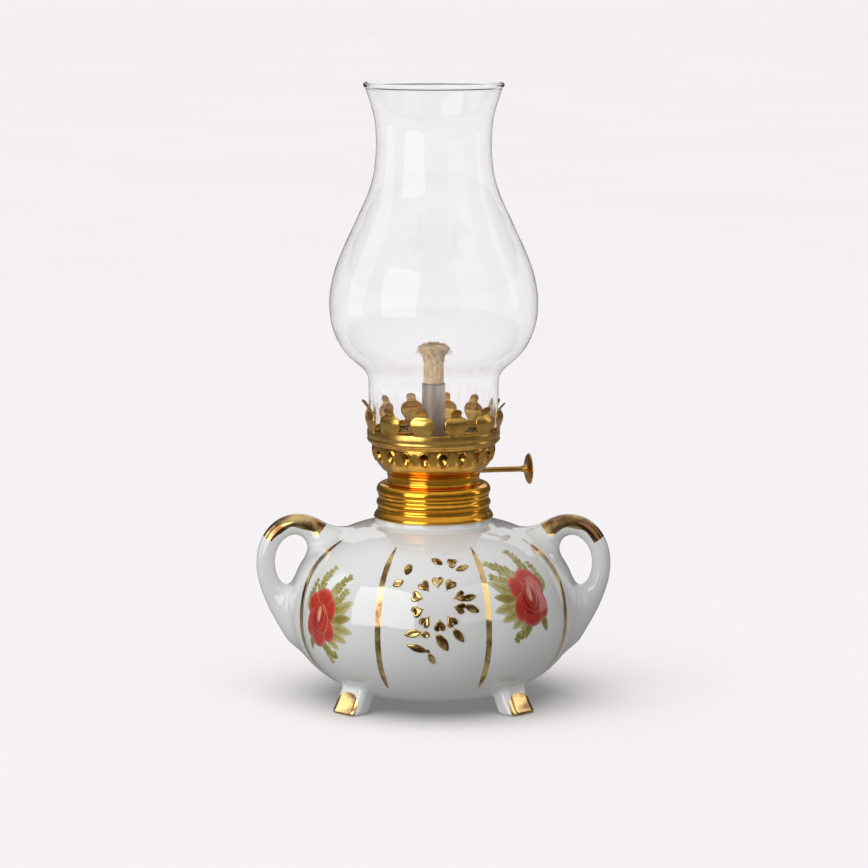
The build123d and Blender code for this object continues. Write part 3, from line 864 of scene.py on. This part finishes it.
def spray(drawing, panel, at, degrees, length, pairs, size, draw):
    """A curved stem with bushy leaflets in pairs, smaller towards its tip."""
    heading, curve = math.radians(degrees), draw.uniform(-0.35, 0.35)

    def spot(reach):
        a = heading + curve * reach / length
        return at[0] - math.sin(a) * reach, at[1] + math.cos(a) * reach

    for start, end in zip(np.linspace(0, 0.9, 5), np.linspace(0.25, 1.0, 5)):
        a, b = np.array(spot(length * start)), np.array(spot(length * end))
        turn = math.degrees(math.atan2(a[0] - b[0], b[1] - a[1]))
        stem = turned_flat(blade(np.linalg.norm(b - a), 0.32, 0.5, 0.5, 12), turn, a)
        drawing.shape(panel, stem, flat_lift(1), washed(STEM, LEAF, 0.2))
    for k in range(pairs + 1):
        reach = length * (0.15 + 0.85 * k / pairs)
        shrink = (1 - 0.4 * k / pairs) * draw.uniform(0.85, 1.15)
        tone = draw.uniform(0, 1)
        inner, outer = OLIVE * (1 - tone) + LEAF * tone, LEAF * (1 - tone) + PALE_LEAF * tone
        for side in (-1, 0, 1):
            turn = degrees + side * (38 + draw.uniform(-12, 12)) + math.degrees(curve) * reach / length
            outline = blade(size * shrink, size * 0.58 * shrink, 0.5, 0.8, 18)
            outline = turned_flat(outline, turn, spot(reach))
            lift, colours = flat_lift(2 + (k + side) % 3), washed(inner, outer, 0.4)
            drawing.shape(panel, outline, lift, colours)


def bud(drawing, panel, at, size):
    outline = egg(size * 0.5, size * 0.42, 3, 0.1) + np.asarray(at)
    drawing.shape(panel, outline, flat_lift(4), rimmed(OLIVE, LEAF, 0.6, 0.3, 0.3))
    outline = egg(size * 0.24, size * 0.2) + np.asarray(at) + (0, size * 0.12)
    drawing.shape(panel, outline, flat_lift(5), rimmed(LEAF, PALE_LEAF, 0.5, 0.1))


SPRAYS = [
    (-1.6, 5.8, -2, 9.0, 5, 3.0), (2.8, 4.2, -24, 9.5, 6, 3.2), (4.0, 2.2, -42, 7.4, 5, 3.0),
    (-5.2, 2.6, 8, 7.0, 4, 2.6), (1.8, -7.0, -160, 5.8, 3, 2.6),
]
LEAVES = [
    (3.6, 0.4, -58, 10.4, 3.9, 0), (3.4, -0.4, -80, 8.8, 3.4, 1), (3.2, -1.8, -98, 9.6, 3.8, 0),
    (3.0, -2.6, -116, 8.4, 3.6, 0), (2.2, -4.0, -132, 7.0, 3.2, 0), (0.8, -5.8, -158, 6.6, 2.8, 1),
    (-3.4, -5.2, 158, 6.0, 2.6, 1), (-5.2, 0.8, 34, 4.6, 2.4, 0),
]


def bouquet(drawing, direction, shift, mirror, seed):
    """A rose with its leaves and sprays on one lobe. mirror is 1 or -1, and turns it left for right."""
    draw = np.random.default_rng(seed)
    panel = Panel(direction)
    x, y = shift

    def spot(across, up):
        return (x + mirror * across, y + up)

    for across, up, degrees, length, pairs, size in SPRAYS:
        spray(drawing, panel, spot(across, up), mirror * degrees, length, pairs, size, draw)
    for across, up, degrees, length, width, dark in LEAVES:
        inner, outer = (OLIVE, LEAF) if dark else (LEAF, PALE_LEAF)
        leaf(drawing, panel, spot(across, up), mirror * degrees, length, width, 4, inner, outer)
    bud(drawing, panel, spot(4.8, -10.6), 3.2)
    rose(drawing, panel, (x, y), 1.08, 1.06, mirror * -4, draw)


def bead(height):
    """A raised shape with a full rim and a dished middle."""
    def lift(ring):
        return height * np.interp(ring, [0, 0.35, 0.72, 0.9, 1.0], [0.62, 0.7, 1.0, 0.72, -0.25])
    return lift


def heart(length, width):
    """A heart outline that starts with its point at the origin and runs up to its two lobes."""
    turn = np.linspace(0, TAU, Drawing.SPOKES, endpoint=False)
    side = np.sin(turn) ** 3
    up = (13 * np.cos(turn) - 5 * np.cos(2 * turn) - 2 * np.cos(3 * turn) - np.cos(4 * turn) + 17) / 29
    return np.stack([side * width / 2, up * length], -1)


RELIEF_HEIGHT = 0.42
WREATH_PETALS = 10
WREATH_RADIUS = 4.2
LOOSE_LEAVES = [
    (-8.6, 10.5, -18, 3.9, 2.1), (-11.6, 5.8, -62, 3.5, 2.0), (-0.4, 13.5, 53, 3.6, 1.9),
    (6.8, 10.9, -68, 3.9, 1.9), (8.8, 1.5, -78, 4.5, 1.9), (9.9, -1.7, -115, 4.6, 2.1),
    (5.8, -9.2, -142, 4.7, 2.2), (1.1, -11.1, -147, 5.7, 2.6), (-3.7, -8.8, -100, 2.7, 1.9),
    (-7.2, -8.6, -80, 5.0, 2.1), (-6.0, -12.9, -107, 5.9, 2.0), (-1.9, -16.0, -154, 3.6, 1.7),
    (-2.9, -13.6, -150, 1.3, 0.7), (3.3, 13.5, 30, 1.9, 1.6), (4.4, 13.4, -40, 1.9, 1.6),
    (3.9, 12.0, -176, 2.0, 1.7),
]


def gold_spray(drawing, direction, centre, mirror):
    """A wreath of raised heart-shaped petals, with loose leaves and a small bud winding out of it."""
    panel = Panel(direction)
    x, y = centre
    for k in range(WREATH_PETALS):
        degrees = 360 / WREATH_PETALS * k + 2 + 3 * math.sin(3.0 * k)
        a = math.radians(degrees)
        spot = (x - WREATH_RADIUS * math.sin(a), y + WREATH_RADIUS * math.cos(a))
        outline = turned_flat(heart(3.8, 3.5), degrees, spot)
        drawing.shape(panel, outline, bead(RELIEF_HEIGHT))
    for across, up, degrees, length, width in LOOSE_LEAVES:
        outline = blade(1.12 * length, 1.15 * width, 0.5, 0.72) - (0, 0.56 * length)
        outline = turned_flat(outline, mirror * degrees, (x + mirror * across, y + up))
        drawing.shape(panel, outline, bead(RELIEF_HEIGHT))


flowers = Drawing()
bouquet(flowers, -133, (-5.4, 2.8), 1, 11)
bouquet(flowers, -47, (-0.4, 9.6), -1, 23)
bouquet(flowers, 47, (-0.8, 5.0), 1, 31)
bouquet(flowers, 133, (1.6, 5.0), -1, 47)
finish_piece(flowers.piece("painted_flowers"), "font", LOOKS["enamel"])

relief = Drawing()
gold_spray(relief, -90, (1.4, 9.6), 1)
gold_spray(relief, 90, (-1.4, 9.6), -1)
finish_piece(relief.piece("gold_relief"), "font", LOOKS["gilt"])

# ---------------------------------------------------------------- brass collar, burner neck and gallery


def spun_wobble(amount, turns, seed):
    """The slight unevenness of hand-spun sheet."""
    def wobble(angle, height):
        return amount * np.sin(turns * angle + seed + 0.8 * height) * np.cos((turns + 2) * angle - seed)
    return wobble


def collar_profile():
    outer = spline([
        (13.5, 63.35), (14.6, 63.62), (15.7, 63.42), (16.45, 62.6), (16.68, 61.7), (16.5, 61.0),
        (16.22, 60.72), (16.3, 60.35), (16.12, 59.75), (16.25, 59.0), (16.6, 58.5), (16.7, 57.9),
        (16.5, 57.3), (16.2, 56.95), (16.28, 56.6), (16.3, 56.1), (16.75, 55.3), (17.3, 54.55),
        (17.5, 54.05),
    ], 150)
    edge = [(17.52, 53.85), (17.35, 53.68), (17.1, 53.75)]
    inner = spline([
        (17.0, 54.0), (16.35, 55.2), (15.85, 56.4), (15.8, 58.5), (15.8, 61.4), (15.4, 62.6),
        (13.5, 62.95),
    ], 50)
    return np.concatenate([outer, edge, inner])


collar = turned("ribbed_collar", collar_profile(), 192, wobble=spun_wobble(0.035, 3, 0.7))
finish_piece(collar, "font", LOOKS["collar"], ["screw_collar"])

NECK_STEPS = [
    (-0.4, 62.55), (0, 62.55), (0, 63.45), (0.28, 63.75), (0.28, 64.15), (0, 64.45), (-0.02, 65.9),
    (0.16, 66.1), (0.16, 66.3), (0, 66.5), (0, 66.85), (-0.4, 66.85),
]
neck = softened([(NECK_RADIUS + out, height) for out, height in NECK_STEPS], 0.18, 0.25)
neck = turned("neck_cup", neck, 160, wobble=spun_wobble(0.02, 2, 1.9))
finish_piece(neck, "burner", LOOKS["collar"], ["burner_neck"])

HOLES = 20
SECTOR = TAU / HOLES
BOWL_LINE = spline([
    (NECK_RADIUS + 0.1, 66.55), (13.65, 66.85), (14.5, 67.45), (15.5, 68.5), (16.35, 69.6), (17.0, 70.8),
    (17.45, 72.0), (17.75, 73.4), (17.8, 74.5), (17.75, BOWL_TOP),
], 200)
BOWL_STEPS = np.concatenate([[0], np.cumsum(np.linalg.norm(np.diff(BOWL_LINE, axis=0), axis=1))])
HOLE_ROWS = (70.1, 74.85)
HOLE_MIDDLE, HOLE_HALF_WIDE, HOLE_HALF_TALL = 72.6, 1.36, 1.85


def on_bowl_line(along):
    return (np.interp(along, BOWL_STEPS, BOWL_LINE[:, k]) for k in (0, 1))


def on_bowl(angle, along, lift=0.0):
    """A point on the bowl at this direction and this length up its line, lifted off it by so much."""
    radius, height = on_bowl_line(along)
    ahead_radius, ahead_height = on_bowl_line(along + 0.05)
    slope_r, slope_z = ahead_radius - radius, ahead_height - height
    size = np.hypot(slope_r, slope_z) + 1e-9
    radius, height = radius + lift * slope_z / size, height - lift * slope_r / size
    return np.stack([radius * np.cos(angle), radius * np.sin(angle), height], -1)


def bowl_height_at(height):
    return np.interp(height, BOWL_LINE[:, 1], BOWL_STEPS)


def louvre_hole(around):
    """The radius of an oval hole in this direction, narrower below."""
    oval = 1 / np.hypot(np.cos(around) / HOLE_HALF_WIDE, np.sin(around) / HOLE_HALF_TALL)
    return oval * (1 + 0.06 * np.maximum(-np.sin(around), 0) ** 6)


HOLE_LIP, LIP_WIDTH = 0.34, 0.42
SCOOP_DEPTH = 1.35


def pierced_bowl():
    """The bowl as one sector for each hole, with a raised lip and a scoop pressed in from below."""
    low, high, middle = (bowl_height_at(h) for h in (*HOLE_ROWS, HOLE_MIDDLE))
    radius = np.interp(middle, BOWL_STEPS, BOWL_LINE[:, 0])
    half = SECTOR / 2 * radius
    across, up = 16, 14
    sides = np.concatenate([
        np.stack([np.linspace(-half, half, across + 1)[:-1], np.full(across, low)], -1),
        np.stack([np.full(up, half), np.linspace(low, high, up + 1)[:-1]], -1),
        np.stack([np.linspace(half, -half, across + 1)[:-1], np.full(across, high)], -1),
        np.stack([np.full(up, -half), np.linspace(high, low, up + 1)[:-1]], -1),
    ])
    around = np.arctan2(sides[:, 1] - middle, sides[:, 0])
    rim = np.stack([np.cos(around), np.sin(around)], -1) * louvre_hole(around)[:, None] + (0, middle)
    lowered = np.clip(0.42 - np.sin(around), 0, 1)
    bowl = Patches()
    for hole in range(HOLES):
        turn = SECTOR * (hole + 0.5) - math.pi / 2
        sheet, scoop = [], []
        for t in np.linspace(0, 1, 8) ** 1.4:
            flat = rim + (sides - rim) * t
            gap = np.linalg.norm(flat - rim, axis=1)
            lip = HOLE_LIP * np.exp(-((gap / LIP_WIDTH) ** 2))
            sheet.append(on_bowl(turn + flat[:, 0] / radius, flat[:, 1], lip))
        for t in np.linspace(0, 1, 6):
            reach = t * lowered * 0.82
            flat = rim + (np.array([0, middle + 0.55]) - rim) * reach[:, None]
            scooped = HOLE_LIP - SCOOP_DEPTH * (t * lowered) ** 1.2 - 0.1 * t
            scoop.append(on_bowl(turn + flat[:, 0] / radius, flat[:, 1], scooped))
        bowl.add(np.stack(sheet))
        bowl.add(np.stack(scoop))
    around = (np.arange(HOLES * across) / (HOLES * across)) * TAU - math.pi / 2
    for start, end, rows in ((0.0, low, 16), (high, BOWL_STEPS[-1], 3)):
        along, turn = np.meshgrid(np.linspace(start, end, rows), around, indexing="ij")
        bowl.add(on_bowl(turn, along))
    return bowl.piece("pierced_bowl", weld=0.02)


bowl = pierced_bowl()
thicken(bowl, 0.32)
finish_piece(bowl, "burner", LOOKS["bowl"], ["air_bowl"])

PRONGS = 12
PRONG_FIRST = math.radians(-90 - 10)
PRONG_BASE = 79.1
PRONG_WIDTHS = [
    (-0.6, 5.4), (0.2, 4.7), (0.9, 4.5), (1.6, 5.3), (2.5, 6.6), (3.5, 7.3), (4.4, 7.25), (5.2, 6.4),
    (5.75, 4.9), (6.1, 3.5), (6.45, 2.95), (7.0, 3.1), (7.6, 3.0), (8.05, 2.3), (8.3, 1.0),
]
PRONG_LINE = [
    (-0.6, 19.25), (0.6, 19.2), (1.6, 19.4), (3.4, 19.75), (5.0, 19.6), (6.2, 19.25), (6.9, 19.6),
    (8.3, 20.5),
]
PRONG_CIRCLE = 19.4


def crown_ring():
    outer = spline([
        (17.75, 75.15), (18.25, 75.3), (18.55, 75.75), (18.95, 75.95), (19.3, 76.35), (19.42, 76.9),
        (19.3, 77.35), (19.4, 77.8), (19.45, 78.6), (19.36, 79.3), (19.2, 79.75),
    ], 90)
    inner = softened([
        (18.95, 79.75), (18.95, 76.55), (18.6, 76.4), (16.7, 76.4), (16.6, 76.1), (16.9, 75.75),
        (17.75, 75.0),
    ], 0.1, 0.6)
    return turned_points(np.concatenate([outer, inner[1:-1]]), 240, wobble=spun_wobble(0.05, 4, 2.2))


def crown():
    """The gallery's ring with its prongs, each bent a little differently."""
    draw = np.random.default_rng(5)
    ring = new_piece("pronged_gallery", *crown_ring())
    rows, columns = 44, 18
    widths = spline(PRONG_WIDTHS, 200)
    line = spline(PRONG_LINE, 200)
    u, v = np.linspace(-1, 1, columns), np.linspace(PRONG_LINE[0][0], PRONG_LINE[-1][0], rows)
    prongs = Patches()
    for k in range(PRONGS):
        turn = PRONG_FIRST + TAU * k / PRONGS
        width = np.interp(v, widths[:, 0], widths[:, 1]) / 2
        bend, twist = draw.uniform(-0.35, 0.55), draw.uniform(-0.10, 0.10)
        lean = draw.uniform(-0.035, 0.035)
        out = np.interp(v, line[:, 0], line[:, 1]) + bend * np.clip((v - 0.8) / 7.5, 0, 1) ** 1.6
        out = out + draw.uniform(-0.1, 0.5) * np.clip((v - 6.2) / 2, 0, 1)
        dome = 0.3 * np.exp(-(((v - 3.7) / 2.0) ** 2))
        side = u[None, :] * width[:, None]
        radial = out[:, None] + dome[:, None] * (1 - u[None, :] ** 2) - side**2 / (2 * PRONG_CIRCLE)
        radial = radial + twist * side * np.clip(v / 4, 0, 1)[:, None]
        side = side + lean * v[:, None]
        up = PRONG_BASE + v[:, None] + 0 * side
        prongs.add(turned_out(turn, radial, side, up), wrap_columns=False)
    prongs = prongs.piece("prongs", outward=False)
    thicken(prongs, 0.3, 0.0)
    with bpy.context.temp_override(active_object=ring, selected_editable_objects=[ring, prongs]):
        bpy.ops.object.join()
    return ring


finish_piece(crown(), "burner", LOOKS["crown"], ["crown_gallery"])

# ---------------------------------------------------------------- wick tube, wick, spindle and knob


def braid(angle, height):
    """The crossing strands of a braided cord."""
    one = np.sin(7 * angle + 2.6 * height)
    other = np.sin(7 * angle - 2.6 * height)
    return 0.10 * np.maximum(one, other) - 0.10


WICK_RADIUS = 2.95
HEAD_START, HEAD_TOP = 98.2, 104.1


def wick_core():
    """The braided cord with the swollen head under its loose threads."""
    head = spline([
        (WICK_RADIUS, HEAD_START), (2.9, 99.2), (3.1, 100.2), (3.6, 101.2), (4.3, 102.1), (4.5, 102.8),
        (3.9, 103.5), (2.0, 104.0), (0.0, HEAD_TOP),
    ], 44)
    rows = 420
    stalk = np.stack([np.full(rows, WICK_RADIUS), np.linspace(WICK_BOTTOM, HEAD_START - 0.1, rows)], -1)
    profile = np.concatenate([[(0.0, WICK_BOTTOM)], stalk, head])
    draw = np.random.default_rng(3)
    phase = draw.uniform(0, TAU, 12)

    def rough(angle, height):
        tufts = 0
        for k in range(6):
            tufts = tufts + np.sin((9 + 3 * k) * angle + phase[k] + (1.1 + 0.4 * k) * height) / (k + 2)
        shape = np.where(height < HEAD_START + 0.2, braid(angle, height), 0.42 * tufts)
        return shape * np.clip((HEAD_TOP - height) / 0.6, 0, 1)
    return turned("wick_core", profile, 84, closed=False, wobble=rough)


FRAY_RADIUS, FRAY_START = 2.9, 98.7
FRAY_REACH, FRAY_TOP = 5.5, 105.05


def frayed_threads(count):
    """Loose cotton ends that fan out of the wick's head."""
    draw = np.random.default_rng(8)
    joints, sides = 8, 3
    ring = np.arange(sides) * TAU / sides
    threads = Patches()
    for _ in range(count):
        turn, from_axis = draw.uniform(0, TAU), FRAY_RADIUS * math.sqrt(draw.uniform(0, 1))
        outward = from_axis / FRAY_RADIUS
        length = draw.uniform(4.6, 6.6) * (1 - 0.10 * outward)
        lean = outward**2 * draw.uniform(0.3, 1.7) + draw.normal(0, 0.06)
        curl, sway = draw.normal(0, 0.4), draw.normal(0, 0.45)
        t = np.linspace(0, 1, joints)
        tilt = lean * t**1.5 + curl * t**3
        drop = draw.uniform(0, 1.0) ** 2 * outward * 1.2
        radial = 1.04 * from_axis + np.cumsum(np.sin(tilt)) * length / joints
        up = FRAY_START + draw.uniform(-0.4, 0.6) + np.cumsum(np.cos(tilt)) * length / joints - drop * t**4
        radial = np.minimum(radial, FRAY_REACH + draw.uniform(-0.9, 0.1))
        up = np.minimum(up, FRAY_TOP - 0.045 * radial**2 - draw.uniform(0, 1.3))
        centre = turned_out(turn, radial, sway * t**1.5, up)
        thick = draw.uniform(0.12, 0.27) * (1 - 0.55 * t)[:, None]
        section = np.stack([np.cos(ring) * thick, np.sin(ring) * thick, 0 * ring + 0 * thick], -1)
        threads.add(centre[:, None, :] + section)
    return threads.piece("frayed_threads", weld=0, outward=False)


finish_piece(wick_core(), "wick", LOOKS["cotton"], ["wick"])
finish_piece(frayed_threads(1800), "wick", LOOKS["cotton"])

knob_low, knob_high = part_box("knob")
spindle_joint = next(j for j in frame["joints"] if j["name"] == "knob_turn")
SPINDLE_AXIS = np.array(spindle_joint["axis"], float)
SPINDLE_START = np.array(spindle_joint["pos_m"], float) / MM
KNOB_REACH = float(np.dot(np.array((knob_low + knob_high) / 2) / MM - SPINDLE_START, SPINDLE_AXIS))


def on_spindle(obj):
    """Stands a piece that was turned about Z along the spindle's axis."""
    turn = Vector((0, 0, 1)).rotation_difference(Vector(SPINDLE_AXIS)).to_matrix().to_4x4()
    obj.data.transform(turn)
    obj.data.transform(Matrix.Translation(Vector(SPINDLE_START * MM)))
    return obj


TUBE_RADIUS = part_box("wick_tube")[1].x / MM
TUBE_ENDS = [corner.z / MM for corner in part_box("wick_tube")]
TUBE_WALL = 0.25
WINDOW_HALF_WIDE, WINDOW_HALF_TALL = 1.2, 2.5


def wick_tube():
    """The steel tube, with a window cut in the side that the wheel reaches through."""
    towards_wheel = SPINDLE_START - np.dot(SPINDLE_START, SPINDLE_AXIS) * SPINDLE_AXIS
    middle = math.atan2(towards_wheel[1], towards_wheel[0])
    low, high = SPINDLE_START[2] - WINDOW_HALF_TALL, SPINDLE_START[2] + WINDOW_HALF_TALL
    heights = np.concatenate([np.linspace(TUBE_ENDS[0], low, 8), np.linspace(high, TUBE_ENDS[1], 30)])
    profile = np.stack([np.full(len(heights), TUBE_RADIUS), heights], -1)
    points, faces = turned_points(profile, 120, closed=False)
    centres = points[faces].mean(1)
    turn = np.arctan2(centres[:, 1], centres[:, 0]) - middle
    aside = np.abs((turn + math.pi) % TAU - math.pi) * TUBE_RADIUS
    window = (aside < WINDOW_HALF_WIDE) & (centres[:, 2] > low) & (centres[:, 2] < high)
    return new_piece("steel_wick_tube", points, faces[~window])


tube = wick_tube()
thicken(tube, TUBE_WALL)
finish_piece(tube, "burner", LOOKS["steel"], ["wick_tube"])

SHAFT, SHAFT_START = 0.8, -3.6
SHAFT_END = [
    (SHAFT, -2.2), (SHAFT + 0.2, -1.6), (SHAFT + 0.55, -0.7), (SHAFT + 0.75, -0.1), (SHAFT + 0.7, 0.75),
    (SHAFT + 0.3, 1.15), (0.0, 1.3),
]
DISH = [
    (0.82, -0.35), (2.2, -0.45), (3.4, -0.35), (4.2, 0.02), (4.6, 0.42), (4.55, 0.66), (4.25, 0.58),
    (3.3, 0.1), (2.1, -0.02), (0.82, 0.02),
]


def at_knob(outline):
    """An outline drawn round the knob's middle, moved to its place along the spindle."""
    return [(radius, KNOB_REACH + along) for radius, along in outline]


shaft = softened([(0.0, SHAFT_START), (SHAFT, SHAFT_START), *at_knob(SHAFT_END)], 0.2, 0.5)
shaft = on_spindle(turned("wick_raiser_shaft", shaft, 40))
finish_piece(shaft, "spindle", LOOKS["fittings"], ["spindle"])
dish = softened(at_knob(DISH), 0.15, 0.3)
dish = on_spindle(turned("dished_knob", dish, 96, wobble=spun_wobble(0.03, 3, 0.2)))
finish_piece(dish, "spindle", LOOKS["fittings"], ["knob"])

# ---------------------------------------------------------------- glass chimney

GLASS_WALL = 1.05
GLASS_LINE = [
    (18.5, CHIMNEY_FOOT), (18.62, 80.0), (18.8, 86.0), (18.95, 92.0), (19.1, 94.6), (20.1, 96.6),
    (22.5, 98.95), (25.1, 101.3), (28.2, 106.0), (29.75, 110.6), (30.3, 116.5), (29.65, 122.3),
    (27.5, 129.3), (24.45, 136.2), (21.2, 143.2), (18.35, 150.1), (17.1, 156.0), (16.7, 162.5),
    (17.05, 168.5), (17.75, 172.0), (18.75, 175.4), (19.75, 178.4),
]


def chimney_profile():
    outer = spline(GLASS_LINE, 210)
    ahead = np.gradient(outer, axis=0)
    inward = np.stack([-ahead[:, 1], ahead[:, 0]], -1) / np.linalg.norm(ahead, axis=1)[:, None]
    inner = outer + inward * GLASS_WALL
    rim = [(20.35, TOP - 0.85), (20.2, TOP - 0.2), (19.55, TOP - 0.02), (18.85, TOP - 0.5)]
    lip = spline([outer[-1], *rim, inner[-1]], 24)
    foot = spline([inner[0], (17.9, CHIMNEY_FOOT - 0.02), outer[0]], 8)
    return np.concatenate([outer, lip[1:-1], inner[::-1], foot[1:-1]])


glass_segments = 176
chimney = turned("glass_chimney", chimney_profile(), glass_segments, wobble=spun_wobble(0.03, 2, 1.1))
finish_piece(chimney, "chimney", LOOKS["glass"], ["chimney"])
chimney.visible_shadow = False

# ---------------------------------------------------------------- the frame's own pieces that show

SHARP_ANGLE = math.radians(35)
for name, look in {
    "collar_cement": "plaster", "seal_ring": "gasket", "threaded_sleeve": "bowl", "base_plate": "bowl",
    "draught_plate": "plate", "wheel_bracket": "steel", "spindle_bush": "fittings",
    "wick_wheel": "fittings",
}.items():
    NODES[name].data.materials.clear()
    NODES[name].data.materials.append(LOOKS[look])
    NODES[name].data.shade_smooth()
    NODES[name].data.set_sharp_from_angle(angle=SHARP_ANGLE)

# ---------------------------------------------------------------- floor, light and camera


def floor_look():
    look = Look("pale_floor", Roughness=0.85)
    cloud = look.noise(3, 3)
    tone = look.mix(look.ramp(cloud, 0.3, 0.7), srgb(247, 243, 244), srgb(245, 241, 242))
    look.set(look.shader, {"Base Color": tone})
    return look.material


def pale_floor():
    """A flat floor whose far edge curves up, so that it is also the backdrop of a low view."""
    profile = [(0.0, 0.0), (7.0, 0.0), (14.0, 0.0), (18.0, 0.25), (23.0, 1.3), (30.0, 3.9), (40.0, 9.0)]
    points, faces = turned_points(np.array(profile) / MM, 96, closed=False)
    floor = new_piece("floor", points, faces, weld=0.5, outward=False)
    floor.data.materials.append(floor_look())
    floor.visible_glossy = floor.visible_diffuse = False
    return floor


SUN_ENERGY = 1.82
OVERHEAD, WALLS, BELOW = 0.74, 0.10, 0.30


MIDDLE = Vector((0, 0, 0.10))


def softbox(name, place, size, brightness, lit):
    """A rectangular studio light for some of the pieces, which leaves the floor's tone alone."""
    light = bpy.data.lights.new(name, "AREA")
    light.shape, light.size, light.size_y = "RECTANGLE", *size
    light.energy = brightness * math.pi * size[0] * size[1]
    obj = bpy.data.objects.new(name, light)
    obj.location = place
    obj.rotation_euler = (MIDDLE - Vector(place)).to_track_quat("-Z", "Y").to_euler()
    SCENE.collection.objects.link(obj)
    obj.light_linking.receiver_collection = lit
    obj.visible_transmission = False


def daylight(lit):
    """Even soft light from above on the floor alone, so that it is the same tone all over."""
    sun = bpy.data.lights.new("overhead", "SUN")
    sun.energy, sun.angle = SUN_ENERGY, math.radians(75)
    obj = bpy.data.objects.new("overhead", sun)
    obj.rotation_euler = (math.radians(14), math.radians(-10), 0)
    SCENE.collection.objects.link(obj)
    obj.light_linking.receiver_collection = lit


def from_zero(tree, height):
    """The height of a direction, from -1 to 1, as 0 to 1."""
    half = tree.nodes.new("ShaderNodeMath")
    half.operation = "MULTIPLY_ADD"
    half.inputs[1].default_value = half.inputs[2].default_value = 0.5
    tree.links.new(height, half.inputs[0])
    return half.outputs[0]


def surroundings():
    """A dim studio: soft light overhead, dark walls at eye level and a grey glow from below."""
    world = bpy.data.worlds.new("studio")
    SCENE.world = world
    world.use_nodes = True
    tree = world.node_tree
    direction = tree.nodes.new("ShaderNodeTexCoord")
    split = tree.nodes.new("ShaderNodeSeparateXYZ")
    tree.links.new(direction.outputs["Generated"], split.inputs[0])
    walls = tree.nodes.new("ShaderNodeValToRGB")
    tree.links.new(from_zero(tree, split.outputs["Z"]), walls.inputs["Fac"])
    ramp = walls.color_ramp
    ramp.interpolation = "EASE"
    ramp.elements[0].position, ramp.elements[0].color = 0.0, (BELOW, BELOW, BELOW, 1)
    ramp.elements[1].position, ramp.elements[1].color = 1.0, (OVERHEAD, OVERHEAD, OVERHEAD * 1.02, 1)
    for position, value in ((0.38, BELOW * 0.8), (0.5, WALLS), (0.62, WALLS)):
        stop = ramp.elements.new(position)
        stop.color = (value, value, value, 1)
    tree.links.new(walls.outputs["Color"], tree.nodes["Background"].inputs["Color"])


def lamp_collection(name, looks=None):
    """The lamp's pieces, or those with these looks, for the lights that are meant for them alone."""
    found = bpy.data.collections.new(name)
    wanted = [LOOKS[look] for look in looks or LOOKS]
    for obj in list(SCENE.objects):
        if obj.type == "MESH" and obj.data.materials and obj.data.materials[0] in wanted:
            found.objects.link(obj)
    return found


LENS_MM, SENSOR_MM = 145.0, 36.0
CAMERA_PLACE = (0.0, -1.010, 0.222)
LOOKING_DOWN, ROLL = math.radians(8.125), math.radians(-0.05)


def camera():
    lens = bpy.data.cameras.new("camera")
    lens.lens, lens.sensor_width, lens.clip_end = LENS_MM, SENSOR_MM, 200.0
    obj = bpy.data.objects.new("camera", lens)
    obj.location = CAMERA_PLACE
    obj.rotation_euler = (math.pi / 2 - LOOKING_DOWN, ROLL, 0)
    SCENE.collection.objects.link(obj)
    SCENE.camera = obj


lamp = lamp_collection("lamp")
pale_pieces = lamp_collection("pale_pieces", ("porcelain", "glass"))
floor_only = bpy.data.collections.new("floor_only")
floor_only.objects.link(pale_floor())
daylight(floor_only)
surroundings()
softbox("key_window", (-0.50, -0.62, 0.30), (0.62, 0.66), 2.7, lamp)
softbox("side_window", (-0.74, 0.05, 0.30), (0.34, 0.66), 1.3, pale_pieces)
softbox("right_window", (0.52, -0.50, 0.36), (0.46, 0.62), 0.95, pale_pieces)
softbox("far_right_window", (0.76, 0.12, 0.30), (0.16, 0.5), 1.2, lamp)
softbox("back_window", (0.10, 0.80, 0.46), (0.9, 0.35), 0.75, lamp)
camera()
SCENE.view_settings.view_transform = "Standard"
